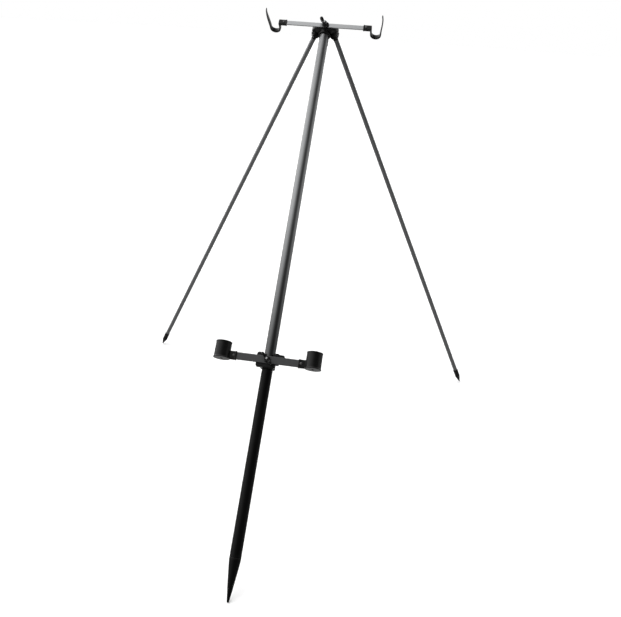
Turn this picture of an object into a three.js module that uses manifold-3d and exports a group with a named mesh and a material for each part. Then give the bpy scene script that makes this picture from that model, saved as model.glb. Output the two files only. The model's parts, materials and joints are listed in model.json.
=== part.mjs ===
// A two-rod beach-casting tripod: an inclined main leg with a sand spike, two rear legs hinged to a
// moulded head, a top bar with two U-shaped rod rests and a lower bar with two butt cups.
//
// The leg frame: everything is drawn with the main leg upright. Its origin is on the tube's axis at
// the head, +Z runs up the leg, -Y faces the angler and X runs along the bars. The whole frame is
// then leaned back and stood on its three feet. Millimetres.

import * as THREE from "three";
import { mergeVertices } from "three/addons/utils/BufferGeometryUtils.js";
import Module from "manifold-3d";

const wasm = await Module();
wasm.setup();

// Stance
const LEAN = THREE.MathUtils.degToRad(42);
const LEG_LENGTH = 1800;
const REAR_FOOT_SIDE = 665;
const REAR_FOOT_BACK = 120;
const GAP = 0.3;

// Main leg
const TUBE_RADIUS = 16;
const TUBE_WALL = 1.8;
const TUBE_TOP = 8;
const JOINT_DROP = 1177;
const SPIGOT_UP = 130;
const SPIGOT_DOWN = 70;
const SPIKE_CONE = 108;
const SPIKE_TIP_RADIUS = 3;

// Rear legs
const HINGE = new THREE.Vector3(32, 9, 11);
const FOLDED_END = new THREE.Vector3(36, 32, -1155);
const LEG_RADIUS = 8;
const LEG_WALL = 1.2;
const KNUCKLE_THICKNESS = 11.4;
const KNUCKLE_RADIUS = 10;
const KNUCKLE_NECK = 18;
const KNUCKLE_COLLAR = 8.6;
const KNUCKLE_LENGTH = 54;
const FOOT_LENGTH = 62;
const FOOT_RADIUS = 9.6;
const FOOT_TIP_RADIUS = 2;
const BOOT_FLOOR = 30;

// Head
const BARREL_RADIUS = 21;
const HEAD_FRONT = 22;
const HEAD_TOP = 31;
const FORK_THICKNESS = 22;
const FORK_RADIUS = 13;
const PIVOT_RADIUS = 3;
const FASTENER_CLEARANCE = 7.4;
const RIVET_DROP = -24;
const RIVET_LENGTH = 8;

// Bars, rests and cups
const BAR_THICKNESS = 3.5;
const TOP_BAR_WIDTH = 16;
const TOP_BAR_RISE = 20;
const TOP_BAR_HALF = 153;
const LOWER_BAR_WIDTH = 22;
const LOWER_BAR_DROP = 1155;
const LOWER_BAR_HALF = 107;
const SLEEVE_THICKNESS = 9;
const SLEEVE_RIM = 1.7;
const REST_SLEEVE_INNER = 131;
const REST_SLEEVE_OUTER = 158;
const REST_SCREW = 141;
const REST_GAP = 28;
const REST_DEPTH = 40;
const REST_PRONG = 62;
const REST_THICKNESS = 6;
const CUP_OFFSET = 133;
const CUP_RADIUS = 23;
const CUP_BORE = 19.5;
const CUP_LOW = -12.5;
const CUP_HEIGHT = 50;
const CUP_FLOOR = 4;
const CUP_SLEEVE_INNER = 90;
const CUP_SCREW = 98;
const PAD_THICKNESS = 3;

// Clamp and fasteners
const CLAMP_FRONT = 26;
const CLAMP_HEIGHT = 44;
const CLAMP_WIDTH = 66;
const EAR_FRONT = 14;
const EAR_BACK = 8;
const PINCH_OFFSET = 38.5;
const PINCH_RISE = 11;
const BOLT_RADIUS = 3;
const SCREW_RADIUS = 2;
const ROUND = 26;
const MEDIUM_ROUND = 18;
const SMALL_ROUND = 10;

// Materials

function finish(color, roughness, metalness) {
  return new THREE.MeshStandardMaterial({ color, roughness, metalness });
}

const GREY_ANODISED = finish(0x8d8f92, 0.42, 0.9);
const BAR_SILVER = finish(0xbcbec0, 0.38, 0.9);
const BAR_DARK = finish(0x4a4b4d, 0.45, 0.8);
const LEG_DARK = finish(0x45474a, 0.5, 0.6);
const BLACK_PAINT = finish(0x17181a, 0.45, 0.2);
const BLACK_NYLON = finish(0x121314, 0.55, 0);
const ZINC = finish(0x9a9c9e, 0.35, 1);
const BLACK_STEEL = finish(0x1d1e20, 0.4, 0.7);
const RUBBER = finish(0x1b1b1b, 0.9, 0);

// Solids

function toSolid(geometry) {
  const bare = new THREE.BufferGeometry();
  bare.setAttribute("position", geometry.getAttribute("position"));
  bare.setIndex(geometry.index);
  const merged = mergeVertices(bare, 1e-4);
  const corners = merged.index.array;
  const triangles = [];
  for (let i = 0; i < corners.length; i += 3) {
    const [a, b, c] = corners.slice(i, i + 3);
    if (a !== b && b !== c && c !== a) triangles.push(a, b, c);
  }
  const vertProperties = new Float32Array(merged.getAttribute("position").array);
  const triVerts = new Uint32Array(triangles);
  return new wasm.Manifold(new wasm.Mesh({ numProp: 3, vertProperties, triVerts }));
}

function toGeometry(solid) {
  const { vertProperties, triVerts } = solid.getMesh();
  const geometry = new THREE.BufferGeometry();
  geometry.setAttribute("position", new THREE.BufferAttribute(vertProperties, 3));
  geometry.setIndex(new THREE.BufferAttribute(triVerts, 1));
  geometry.computeVertexNormals();
  return geometry;
}

function join(...parts) {
  return parts.map(toSolid).reduce((sum, part) => sum.add(part));
}

function cut(solid, ...tools) {
  return tools.map(toSolid).reduce((rest, tool) => rest.subtract(tool), solid);
}

function piece(name, solid, material) {
  const mesh = new THREE.Mesh(toGeometry(solid), material);
  mesh.name = name;
  return mesh;
}

// Revolved about Z; the profile is a list of [radius, height], anticlockwise.
function revolve(profile, segments = ROUND) {
  const points = profile.map(([radius, height]) => new THREE.Vector2(radius, height));
  return new THREE.LatheGeometry(points, segments).rotateX(Math.PI / 2);
}

// A hollow tube along Z with chamfered ends.
function pipe(radius, bore, low, high, segments = ROUND) {
  const chamfer = 0.4;
  return revolve([
    [bore, low], [radius - chamfer, low], [radius, low + chamfer], [radius, high - chamfer],
    [radius - chamfer, high], [bore, high], [bore, low],
  ], segments);
}

// A round bar along Z.
function bar(radius, low, high, segments = SMALL_ROUND) {
  return revolve([[0, low], [radius, low], [radius, high], [0, high]], segments);
}

function box(width, depth, height, x, y, z) {
  return new THREE.BoxGeometry(width, depth, height).translate(x, y, z);
}

// A flat outline in X and Y, extruded from z = low to z = high with rounded rims.
function slab(shape, low, high, bevel = 0) {
  const settings = {
    depth: high - low - 2 * bevel,
    bevelEnabled: bevel > 0,
    bevelThickness: bevel,
    bevelSize: bevel,
    bevelOffset: -bevel,
    bevelSegments: bevel > 2 ? 2 : 1,
    curveSegments: 4,
  };
  return new THREE.ExtrudeGeometry(shape, settings).translate(0, 0, low + bevel);
}

function roundedRectangle(left, bottom, right, top, radius) {
  const shape = new THREE.Shape();
  shape.absarc(right - radius, bottom + radius, radius, -Math.PI / 2, 0);
  shape.absarc(right - radius, top - radius, radius, 0, Math.PI / 2);
  shape.absarc(left + radius, top - radius, radius, Math.PI / 2, Math.PI);
  shape.absarc(left + radius, bottom + radius, radius, Math.PI, 1.5 * Math.PI);
  return shape;
}

// Drawn with its Z axis forwards: x stays, the outline's y is the leg's height.
function facingFront(geometry, x = 0, y = 0, z = 0) {
  return geometry.rotateX(Math.PI / 2).translate(x, y, z);
}

// Turns a piece drawn along Z so that it runs along X, with its outline in Y and Z.
const ALONG_X = new THREE.Matrix4().makeBasis(
  new THREE.Vector3(0, 1, 0), new THREE.Vector3(0, 0, 1), new THREE.Vector3(1, 0, 0),
);

// A frame with the given origin, X axis and Z axis.
function frameAt(origin, xAxis, zAxis) {
  const yAxis = new THREE.Vector3().crossVectors(zAxis, xAxis);
  return new THREE.Matrix4().makeBasis(xAxis, yAxis, zAxis).setPosition(origin);
}

function groupAt(matrix, ...children) {
  const group = new THREE.Group();
  matrix.decompose(group.position, group.quaternion, group.scale);
  group.add(...children);
  return group;
}

// Stance of the legs

const headHeight = LEG_LENGTH * Math.cos(LEAN) + SPIKE_TIP_RADIUS;

function sided(vector, side) {
  return new THREE.Vector3(side * vector.x, vector.y, vector.z);
}

// Where a rear leg hangs: its hinge, the way it points when open, its hinge axis and its length.
function rearLegStance(side) {
  const hinge = sided(HINGE, side);
  const foot = new THREE.Vector3(side * REAR_FOOT_SIDE, REAR_FOOT_BACK, FOOT_TIP_RADIUS - headHeight);
  foot.applyAxisAngle(new THREE.Vector3(1, 0, 0), LEAN);
  const open = foot.clone().sub(hinge);
  const length = open.length() + FOOT_TIP_RADIUS;
  open.normalize();
  const folded = sided(FOLDED_END, side).sub(hinge).normalize();
  const axis = new THREE.Vector3().crossVectors(folded, open).normalize();
  return { hinge, open, folded, axis, length };
}

// Fasteners, drawn along Z with the underside of the head at z = 0 and the shank below it

function domedBolt(headRadius, dome, shankRadius, shankLength) {
  const rim = dome * 0.35;
  return toSolid(revolve([
    [0, -shankLength], [shankRadius - 0.5, -shankLength], [shankRadius, 0.5 - shankLength],
    [shankRadius, 0], [headRadius, 0], [headRadius, rim],
    [headRadius * 0.8, dome * 0.78], [headRadius * 0.4, dome * 0.97], [0, dome],
  ], SMALL_ROUND));
}

function hexNut(acrossCorners, height, bore) {
  const blank = new THREE.CylinderGeometry(acrossCorners, acrossCorners, height, 6).rotateX(Math.PI / 2);
  const crown = revolve([
    [0, -height / 2], [acrossCorners * 0.93, -height / 2], [acrossCorners + 0.2, -height / 4],
    [acrossCorners + 0.2, height / 4], [acrossCorners * 0.93, height / 2], [0, height / 2],
  ], 12);
  const rounded = toSolid(blank).intersect(toSolid(crown));
  return cut(rounded, bar(bore, -height, height));
}

function washer(radius, bore, thickness) {
  return toSolid(revolve([
    [bore, 0], [radius, 0], [radius, thickness], [bore, thickness], [bore, 0],
  ], MEDIUM_ROUND));
}

// Turns a piece drawn along Z so that its +Z faces the angler.
const TO_FRONT = new THREE.Matrix4().makeRotationX(Math.PI / 2);
const TO_BACK = new THREE.Matrix4().makeRotationX(-Math.PI / 2);

function frontMesh(mesh, x, y, z) {
  return groupAt(TO_FRONT.clone().setPosition(x, y, z), mesh);
}

function backMesh(mesh, x, y, z) {
  return groupAt(TO_BACK.clone().setPosition(x, y, z), mesh);
}

// Main leg

function upperTube() {
  const tube = toSolid(pipe(TUBE_RADIUS, TUBE_RADIUS - TUBE_WALL, -JOINT_DROP, TUBE_TOP));
  const rivetHole = facingFront(bar(SCREW_RADIUS + GAP, -TUBE_RADIUS - 4, -4), 0, 0, RIVET_DROP);
  return piece("upper_tube", cut(tube, rivetHole), GREY_ANODISED);
}

function sandSpike() {
  const top = -JOINT_DROP - GAP;
  const shoulder = -LEG_LENGTH + SPIKE_CONE;
  const bore = TUBE_RADIUS - TUBE_WALL;
  const plug = bore - GAP;
  const tip = SPIKE_TIP_RADIUS;
  const tube = toSolid(pipe(TUBE_RADIUS, bore, shoulder + GAP, top));
  const point = toSolid(revolve([
    [0, -LEG_LENGTH - tip], [tip * 0.5, -LEG_LENGTH - tip * 0.87], [tip * 0.87, -LEG_LENGTH - tip * 0.5],
    [tip, -LEG_LENGTH], [TUBE_RADIUS - 1.5, shoulder - 12], [TUBE_RADIUS, shoulder - 4],
    [TUBE_RADIUS, shoulder], [plug, shoulder], [plug, shoulder + 38], [plug - 2, shoulder + 40],
    [0, shoulder + 40],
  ]));
  const spigot = toSolid(pipe(bore - GAP, bore - 3, top - SPIGOT_DOWN, top + SPIGOT_UP));
  return [
    piece("spike_tube", tube, BLACK_PAINT),
    piece("spike_point", point, BLACK_PAINT),
    piece("spike_spigot", spigot, ZINC),
  ];
}

// Head: a barrel over the tube's top, a flat-fronted shoulder for the bar, and a fork at each side

function shoulderOutline() {
  const half = 46;
  const shape = new THREE.Shape();
  shape.moveTo(-HEAD_FRONT, -HEAD_FRONT);
  shape.lineTo(HEAD_FRONT, -HEAD_FRONT);
  shape.bezierCurveTo(30, -HEAD_FRONT, 40, -16, half - 2, -8);
  shape.bezierCurveTo(half + 2, 2, half, 12, 40, 20);
  shape.bezierCurveTo(34, 27, 22, 26, 12, 25);
  shape.lineTo(-12, 25);
  shape.bezierCurveTo(-22, 26, -34, 27, -40, 20);
  shape.bezierCurveTo(-half, 12, -half - 2, 2, -half + 2, -8);
  shape.bezierCurveTo(-40, -16, -30, -HEAD_FRONT, -HEAD_FRONT, -HEAD_FRONT);
  return shape;
}

// The fork's side view: a flat roof over a half-round end centred on the pivot.
function forkOutline() {
  const shape = new THREE.Shape();
  shape.moveTo(-FORK_RADIUS, 14);
  shape.lineTo(-FORK_RADIUS, 0);
  shape.absarc(0, 0, FORK_RADIUS, Math.PI, 2 * Math.PI);
  shape.lineTo(FORK_RADIUS, 14);
  return shape;
}

// What the knuckle sweeps between folded and open, seen along the hinge axis.
function slotOutline(swing) {
  const clear = KNUCKLE_RADIUS + 1.5;
  const reach = 60;
  const along = new THREE.Vector2(Math.sin(swing), -Math.cos(swing));
  const above = new THREE.Vector2(Math.cos(swing), Math.sin(swing)).multiplyScalar(clear);
  const far = above.clone().addScaledVector(along, reach);
  const shape = new THREE.Shape();
  shape.moveTo(-clear, 0);
  shape.lineTo(-clear, -reach);
  shape.lineTo(far.x, -reach);
  shape.lineTo(far.x, far.y);
  shape.lineTo(above.x, above.y);
  shape.absarc(0, 0, clear, swing, Math.PI);
  return shape;
}

// The fork's frame: X along the hinge axis, Z up the leg.
function forkFrame(stance) {
  const up = new THREE.Vector3(0, 0, 1).addScaledVector(stance.axis, -stance.axis.z).normalize();
  return frameAt(stance.hinge, stance.axis, up);
}

// An outline in the fork's Y and Z, extruded along its X.
function acrossFork(shape, thickness, frame, bevel = 0) {
  return slab(shape, -thickness / 2, thickness / 2, bevel).applyMatrix4(ALONG_X).applyMatrix4(frame);
}

function headYoke() {
  const barrel = revolve([
    [0, -4], [BARREL_RADIUS - 1, -4], [BARREL_RADIUS, -3], [BARREL_RADIUS, HEAD_TOP - 3],
    [BARREL_RADIUS - 3, HEAD_TOP], [0, HEAD_TOP],
  ]);
  const shoulder = slab(shoulderOutline(), 8, HEAD_TOP, 2.5);
  const skirtShape = roundedRectangle(-15, -40, 15, 0, 10);
  const skirtBlock = facingFront(slab(skirtShape, -40, -6));
  const skirtBarrel = bar(BARREL_RADIUS, -45, 2, ROUND);
  const skirt = toSolid(skirtBlock).intersect(toSolid(skirtBarrel));
  let yoke = join(barrel, shoulder).add(skirt);
  const stances = [1, -1].map(rearLegStance);
  for (const stance of stances) {
    yoke = yoke.add(toSolid(acrossFork(forkOutline(), FORK_THICKNESS, forkFrame(stance), 1.5)));
  }
  for (const stance of stances) {
    const frame = forkFrame(stance);
    const swing = stance.folded.angleTo(stance.open);
    const slot = acrossFork(slotOutline(swing), KNUCKLE_THICKNESS + 2 * GAP, frame);
    const sideways = new THREE.Matrix4().makeRotationY(Math.PI / 2);
    const half = FORK_THICKNESS / 2;
    const pivot = bar(PIVOT_RADIUS + GAP, -40, 40).applyMatrix4(sideways).applyMatrix4(frame);
    const counterbores = [[half, half + 26], [-half - 26, -half]].map(
      ([from, to]) => bar(FASTENER_CLEARANCE, from, to, MEDIUM_ROUND).applyMatrix4(sideways).applyMatrix4(frame),
    );
    yoke = cut(yoke, slot, pivot, ...counterbores);
  }
  const socket = bar(TUBE_RADIUS + GAP, -60, TUBE_TOP + GAP, ROUND);
  const boltHole = facingFront(bar(BOLT_RADIUS + GAP, -40, 40), 0, 0, TOP_BAR_RISE);
  const rivetHole = facingFront(bar(SCREW_RADIUS + GAP, -40, -4), 0, 0, RIVET_DROP);
  return piece("head_yoke", cut(yoke, socket, boltHole, rivetHole), BLACK_NYLON);
}

function yokeRivet() {
  const rivet = domedBolt(4.5, 2.2, SCREW_RADIUS, RIVET_LENGTH);
  return backMesh(piece("yoke_rivet", rivet, ZINC), 0, BARREL_RADIUS + GAP, RIVET_DROP);
}

function hingeFasteners(side, label) {
  const stance = rearLegStance(side);
  const half = FORK_THICKNESS / 2;
  const frame = forkFrame(stance);
  const headOut = new THREE.Matrix4().makeRotationY(side * Math.PI / 2);
  const bolt = piece(`hinge_bolt_${label}`, domedBolt(6.5, 4, PIVOT_RADIUS, 2 * half + 8), BLACK_STEEL);
  const nut = piece(`hinge_nut_${label}`, hexNut(5.8, 5, PIVOT_RADIUS + GAP), BLACK_STEEL);
  const boltAt = groupAt(headOut, groupAt(new THREE.Matrix4().setPosition(0, 0, half + GAP), bolt));
  const nutAt = groupAt(headOut, groupAt(new THREE.Matrix4().setPosition(0, 0, -half - GAP - 2.5), nut));
  return groupAt(frame, boltAt, nutAt);
}

// Rear legs, each hanging down -Z from its pivot with the hinge axis along X

function knuckle(label) {
  const collar = KNUCKLE_COLLAR;
  const plug = LEG_RADIUS - LEG_WALL - GAP;
  const eye = new THREE.Shape();
  eye.moveTo(-collar + 0.6, 1 - KNUCKLE_NECK);
  eye.lineTo(collar - 0.6, 1 - KNUCKLE_NECK);
  eye.lineTo(KNUCKLE_RADIUS, -3);
  eye.lineTo(KNUCKLE_RADIUS, 0);
  eye.absarc(0, 0, KNUCKLE_RADIUS, 0, Math.PI);
  eye.lineTo(-KNUCKLE_RADIUS, -3);
  const tongue = acrossFork(eye, KNUCKLE_THICKNESS, new THREE.Matrix4(), 0.8);
  const stem = revolve([
    [0, -KNUCKLE_LENGTH], [plug - 1.5, -KNUCKLE_LENGTH], [plug, 2 - KNUCKLE_LENGTH],
    [plug, -KNUCKLE_NECK], [collar - 0.6, -KNUCKLE_NECK], [collar, 0.6 - KNUCKLE_NECK],
    [collar, 2.4 - KNUCKLE_NECK], [collar - 1.6, 4 - KNUCKLE_NECK], [0, 4 - KNUCKLE_NECK],
  ], MEDIUM_ROUND);
  const pivot = bar(PIVOT_RADIUS + GAP, -20, 20).rotateY(Math.PI / 2);
  return piece(`leg_knuckle_${label}`, cut(join(tongue, stem), pivot), BLACK_NYLON);
}

function rearFoot(label, length) {
  const top = FOOT_LENGTH - length;
  const tip = FOOT_TIP_RADIUS;
  const bore = LEG_RADIUS + GAP;
  const floor = BOOT_FLOOR - length;
  const foot = toSolid(revolve([
    [0, -length], [tip * 0.7, tip * 0.3 - length], [tip, tip - length],
    [FOOT_RADIUS - 1, 24 - length], [FOOT_RADIUS, 28 - length], [FOOT_RADIUS, top - 1.5],
    [FOOT_RADIUS - 1, top], [bore, top], [bore, floor], [0, floor],
  ], MEDIUM_ROUND));
  return piece(`leg_foot_${label}`, foot, BLACK_NYLON);
}

function rearLeg(side, label) {
  const stance = rearLegStance(side);
  const top = -KNUCKLE_NECK - GAP;
  const low = BOOT_FLOOR - stance.length + GAP;
  const tube = toSolid(pipe(LEG_RADIUS, LEG_RADIUS - LEG_WALL, low, top, MEDIUM_ROUND));
  const frame = frameAt(stance.hinge, stance.axis, stance.open.clone().negate());
  return groupAt(
    frame,
    knuckle(label),
    piece(`leg_tube_${label}`, tube, LEG_DARK),
    rearFoot(label, stance.length),
  );
}

// Bars, drawn with their centre at the origin and their faces to the front and back

function crossbar(name, halfLength, width, screwAt, material) {
  const outline = roundedRectangle(-halfLength, -width / 2, halfLength, width / 2, 3);
  const strip = slab(outline, -BAR_THICKNESS / 2, BAR_THICKNESS / 2, 0.4);
  const holes = [
    bar(BOLT_RADIUS + GAP, -5, 5),
    bar(SCREW_RADIUS + GAP, -5, 5).translate(screwAt, 0, 0),
    bar(SCREW_RADIUS + GAP, -5, 5).translate(-screwAt, 0, 0),
  ];
  return piece(name, cut(toSolid(strip), ...holes), material);
}

// A flat ribbon that follows a line of points, with a half thickness at each point.
function ribbonOutline(points, halfThickness) {
  const left = [];
  const right = [];
  for (const [i, point] of points.entries()) {
    const before = points[Math.max(i - 1, 0)];
    const after = points[Math.min(i + 1, points.length - 1)];
    const tangent = after.clone().sub(before).normalize();
    const normal = new THREE.Vector2(-tangent.y, tangent.x);
    const half = halfThickness(i / (points.length - 1));
    left.push(point.clone().addScaledVector(normal, half));
    right.push(point.clone().addScaledVector(normal, -half));
  }
  return new THREE.Shape([...right, ...left.reverse()]);
}

// A moulded sleeve over a bar's end, from x = inner to outer, and the socket cut in it for the bar.
function sleeveOver(barWidth, inner, outer) {
  const half = SLEEVE_THICKNESS / 2;
  const edge = barWidth / 2 + SLEEVE_RIM;
  const profile = roundedRectangle(-half, -edge, half, edge, 2.5);
  const collar = roundedRectangle(-half - 0.6, -edge - 0.6, half + 0.6, edge + 0.6, 2.5);
  const sleeve = slab(profile, inner, outer, 1).applyMatrix4(ALONG_X);
  const mouth = slab(collar, inner, inner + 4, 0.6).applyMatrix4(ALONG_X);
  return join(sleeve, mouth);
}

function socketFor(barWidth, barHalf, inner) {
  const depth = barHalf + GAP - inner + 5;
  const middle = inner - 5 + depth / 2;
  return box(depth, BAR_THICKNESS + 2 * GAP, barWidth + 2 * GAP, middle, 0, 0);
}

// The rest's centre line: down behind the bar, round the U and up the long outer prong.
function restCentreLine() {
  const radius = REST_GAP / 2 + 2.4;
  const arm = REST_SLEEVE_OUTER - 1;
  const centre = new THREE.Vector2(arm + radius, radius - REST_DEPTH);
  const outer = centre.x + radius;
  const bowl = new THREE.EllipseCurve(centre.x, centre.y, radius, radius, Math.PI, 2 * Math.PI);
  const prong = new THREE.CubicBezierCurve(
    new THREE.Vector2(outer, centre.y),
    new THREE.Vector2(outer + 1, centre.y + 28),
    new THREE.Vector2(outer + 10, REST_PRONG - 26),
    new THREE.Vector2(outer + 4, REST_PRONG),
  );
  return [new THREE.Vector2(arm, 0), ...bowl.getPoints(14), ...prong.getPoints(10).slice(1)];
}

// Seen from the side, the strip is as wide as the bar and narrows to a round prong tip.
function restSideOutline() {
  const half = TOP_BAR_WIDTH / 2 + 0.5;
  const tip = 5;
  const shape = new THREE.Shape();
  shape.moveTo(-REST_DEPTH - 10, -half);
  shape.lineTo(6, -half);
  shape.bezierCurveTo(24, -half, 36, -tip - 0.5, REST_PRONG - tip, -tip);
  shape.absarc(REST_PRONG - tip, 0, tip, -Math.PI / 2, Math.PI / 2);
  shape.bezierCurveTo(36, tip + 0.5, 24, half, 6, half);
  shape.lineTo(-REST_DEPTH - 10, half);
  return shape;
}

// Drawn outboard: x outwards along the bar, y to the front, z along the leg.
function rodRest(label) {
  const half = (t) => REST_THICKNESS / 2 - 1.4 * t * t;
  const ribbon = slab(ribbonOutline(restCentreLine(), half), -12, 12);
  const side = slab(restSideOutline(), REST_SLEEVE_OUTER - 10, REST_SLEEVE_OUTER + 60);
  const strip = toSolid(ribbon).intersect(toSolid(side.applyMatrix4(ALONG_X)));
  const sleeve = sleeveOver(TOP_BAR_WIDTH, REST_SLEEVE_INNER, REST_SLEEVE_OUTER + 1.4);
  const socket = socketFor(TOP_BAR_WIDTH, TOP_BAR_HALF, REST_SLEEVE_INNER);
  const screwHole = bar(SCREW_RADIUS + GAP, -10, 10).rotateX(Math.PI / 2).translate(REST_SCREW, 0, 0);
  return piece(`rod_rest_${label}`, cut(sleeve.add(strip), socket, screwHole), BLACK_NYLON);
}

// Two thumb wings with broad round ends on a tapered hub, drawn along Z.
function wingKnob(name) {
  const wing = new THREE.Shape();
  wing.moveTo(-8, 1);
  wing.lineTo(8, 1);
  wing.bezierCurveTo(14, 1, 21, 4, 22.5, 12);
  wing.bezierCurveTo(24, 21, 15, 26, 10, 19);
  wing.bezierCurveTo(8, 14, 5, 12.5, 0, 12.5);
  wing.bezierCurveTo(-5, 12.5, -8, 14, -10, 19);
  wing.bezierCurveTo(-15, 26, -24, 21, -22.5, 12);
  wing.bezierCurveTo(-21, 4, -14, 1, -8, 1);
  const wings = slab(wing, -3.6, 3.6, 1.4).rotateX(Math.PI / 2);
  const hub = revolve([
    [0, 0], [9, 0], [9.5, 0.8], [9.2, 6], [7.6, 12], [6.2, 14], [0, 14],
  ], MEDIUM_ROUND);
  const bore = bar(BOLT_RADIUS + GAP, -1, 30);
  return piece(name, cut(join(wings, hub), bore), BLACK_NYLON);
}

// Top bar with its rests, in front of the head
function topBar() {
  const front = -(HEAD_FRONT + GAP + BAR_THICKNESS / 2);
  const group = new THREE.Group();
  group.position.set(0, front, TOP_BAR_RISE);
  const strip = crossbar("top_crossbar", TOP_BAR_HALF, TOP_BAR_WIDTH, REST_SCREW, BAR_SILVER);
  group.add(frontMesh(strip, 0, 0, 0));
  for (const [side, label] of [[-1, "left"], [1, "right"]]) {
    const outboard = new THREE.Matrix4().makeBasis(
      new THREE.Vector3(side, 0, 0), new THREE.Vector3(0, -1, 0), new THREE.Vector3(0, 0, -side),
    );
    const screw = piece(`rest_screw_${label}`, domedBolt(3.8, 2.2, SCREW_RADIUS, 8), BLACK_STEEL);
    group.add(groupAt(outboard, rodRest(label)));
    group.add(frontMesh(screw, side * REST_SCREW, -SLEEVE_THICKNESS / 2 - GAP, 0));
  }
  return group;
}

// What holds a bar: a bolt from behind, with its head at y = start, a washer and a wing knob.
function barFastening(prefix, barFront, height, start, head) {
  const thickness = 1.2;
  const washerFront = barFront - GAP - thickness;
  const knobBack = washerFront - GAP;
  const shank = start - knobBack + 17;
  const bolt = piece(`${prefix}_bolt`, domedBolt(head.radius, head.dome, BOLT_RADIUS, shank), ZINC);
  const ring = piece(`${prefix}_washer`, washer(8.5, BOLT_RADIUS + GAP, thickness), ZINC);
  const knob = wingKnob(`${prefix}_wing_knob`);
  knob.rotation.z = THREE.MathUtils.degToRad(-45);
  return [
    backMesh(bolt, 0, start, height),
    frontMesh(ring, 0, barFront - GAP, height),
    frontMesh(knob, 0, knobBack, height),
  ];
}

// Lower clamp: a split collar on the tube with a flat plate in front for the bar
function clampSaddle() {
  const half = CLAMP_HEIGHT / 2;
  const barrel = revolve([
    [0, -half], [BARREL_RADIUS, -half], [BARREL_RADIUS + 1, 1 - half], [BARREL_RADIUS + 1, half - 1],
    [BARREL_RADIUS, half], [0, half],
  ]);
  const plateShape = roundedRectangle(-CLAMP_WIDTH / 2, -half, CLAMP_WIDTH / 2, half, 6);
  const plate = facingFront(slab(plateShape, 12, CLAMP_FRONT, 1.5));
  const earShape = roundedRectangle(12, 0, 46, half, 6);
  const ear = facingFront(slab(earShape, -EAR_BACK, EAR_FRONT, 1.5));
  const window = box(31, 30, 20, 0, -BARREL_RADIUS - 2, LOWER_BAR_WIDTH / 2 + 11);
  const split = box(50, 2, CLAMP_HEIGHT + 4, 35, 0, 0);
  const bore = bar(TUBE_RADIUS + GAP, -half - 1, half + 1, ROUND);
  const corner = box(20, 30, 20, 34, -CLAMP_FRONT, -half);
  const pinchHole = facingFront(bar(SCREW_RADIUS + GAP, -20, 40), PINCH_OFFSET, 0, PINCH_RISE);
  const boltHole = facingFront(bar(BOLT_RADIUS + GAP, 10, 40));
  const headPocket = facingFront(bar(7.5, 10, TUBE_RADIUS + 5));
  const body = join(barrel, plate, ear);
  return piece(
    "clamp_saddle",
    cut(body, window, split, bore, corner, pinchHole, boltHole, headPocket),
    BLACK_NYLON,
  );
}

function lowerClamp() {
  const nutHeight = 3.2;
  const shank = EAR_FRONT + EAR_BACK + 3 * GAP + nutHeight + 1.5;
  const screw = piece("clamp_screw", domedBolt(4, 2.6, SCREW_RADIUS, shank), BLACK_STEEL);
  const nut = piece("clamp_nut", hexNut(4.2, nutHeight, SCREW_RADIUS + GAP), BLACK_STEEL);
  return [
    clampSaddle(),
    frontMesh(screw, PINCH_OFFSET, -EAR_FRONT - GAP, PINCH_RISE),
    frontMesh(nut, PINCH_OFFSET, EAR_BACK + GAP + nutHeight / 2, PINCH_RISE),
  ];
}

// Lower bar with its butt cups
function buttCup(side, label) {
  const low = CUP_LOW;
  const high = CUP_LOW + CUP_HEIGHT;
  const cup = revolve([
    [0, low], [CUP_RADIUS + 1.5, low], [CUP_RADIUS + 1.5, low + 2.5], [CUP_RADIUS, low + 4],
    [CUP_RADIUS, high - 1], [CUP_RADIUS - 0.8, high], [0, high],
  ]);
  const hollow = revolve([
    [0, low + CUP_FLOOR], [CUP_BORE - 1, low + CUP_FLOOR], [CUP_BORE, low + CUP_FLOOR + 1],
    [CUP_BORE, high - 1], [CUP_BORE + 1, high + 1], [0, high + 1],
  ]);
  const drain = bar(4, low - 1, low + CUP_FLOOR + 1);
  const sleeve = sleeveOver(LOWER_BAR_WIDTH, CUP_SLEEVE_INNER, CUP_OFFSET - 12);
  const socket = socketFor(LOWER_BAR_WIDTH, LOWER_BAR_HALF, CUP_SLEEVE_INNER);
  const screwHole = bar(SCREW_RADIUS + GAP, -10, 10).rotateX(Math.PI / 2).translate(CUP_SCREW, 0, 0);
  const body = sleeve.add(toSolid(cup.translate(CUP_OFFSET, 0, 0)));
  const tools = [hollow.translate(CUP_OFFSET, 0, 0), drain.translate(CUP_OFFSET, 0, 0), socket, screwHole];
  const mesh = piece(`butt_cup_${label}`, cut(body, ...tools), BLACK_NYLON);
  mesh.rotation.z = side > 0 ? 0 : Math.PI;
  return mesh;
}

function lowerBar() {
  const group = new THREE.Group();
  group.position.set(0, -(CLAMP_FRONT + GAP + BAR_THICKNESS / 2), 0);
  const strip = crossbar("lower_crossbar", LOWER_BAR_HALF, LOWER_BAR_WIDTH, CUP_SCREW, BAR_DARK);
  group.add(frontMesh(strip, 0, 0, 0));
  for (const [side, label] of [[-1, "left"], [1, "right"]]) {
    const pad = piece(`cup_pad_${label}`, washer(CUP_BORE - 1.3, 4, PAD_THICKNESS), RUBBER);
    const screw = piece(`cup_screw_${label}`, domedBolt(3.8, 2.2, SCREW_RADIUS, 8), BLACK_STEEL);
    pad.position.set(side * CUP_OFFSET, 0, CUP_LOW + CUP_FLOOR + GAP);
    group.add(buttCup(side, label), pad);
    group.add(frontMesh(screw, side * CUP_SCREW, -SLEEVE_THICKNESS / 2 - GAP, 0));
  }
  return group;
}

// Assembly in the leg frame

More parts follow.
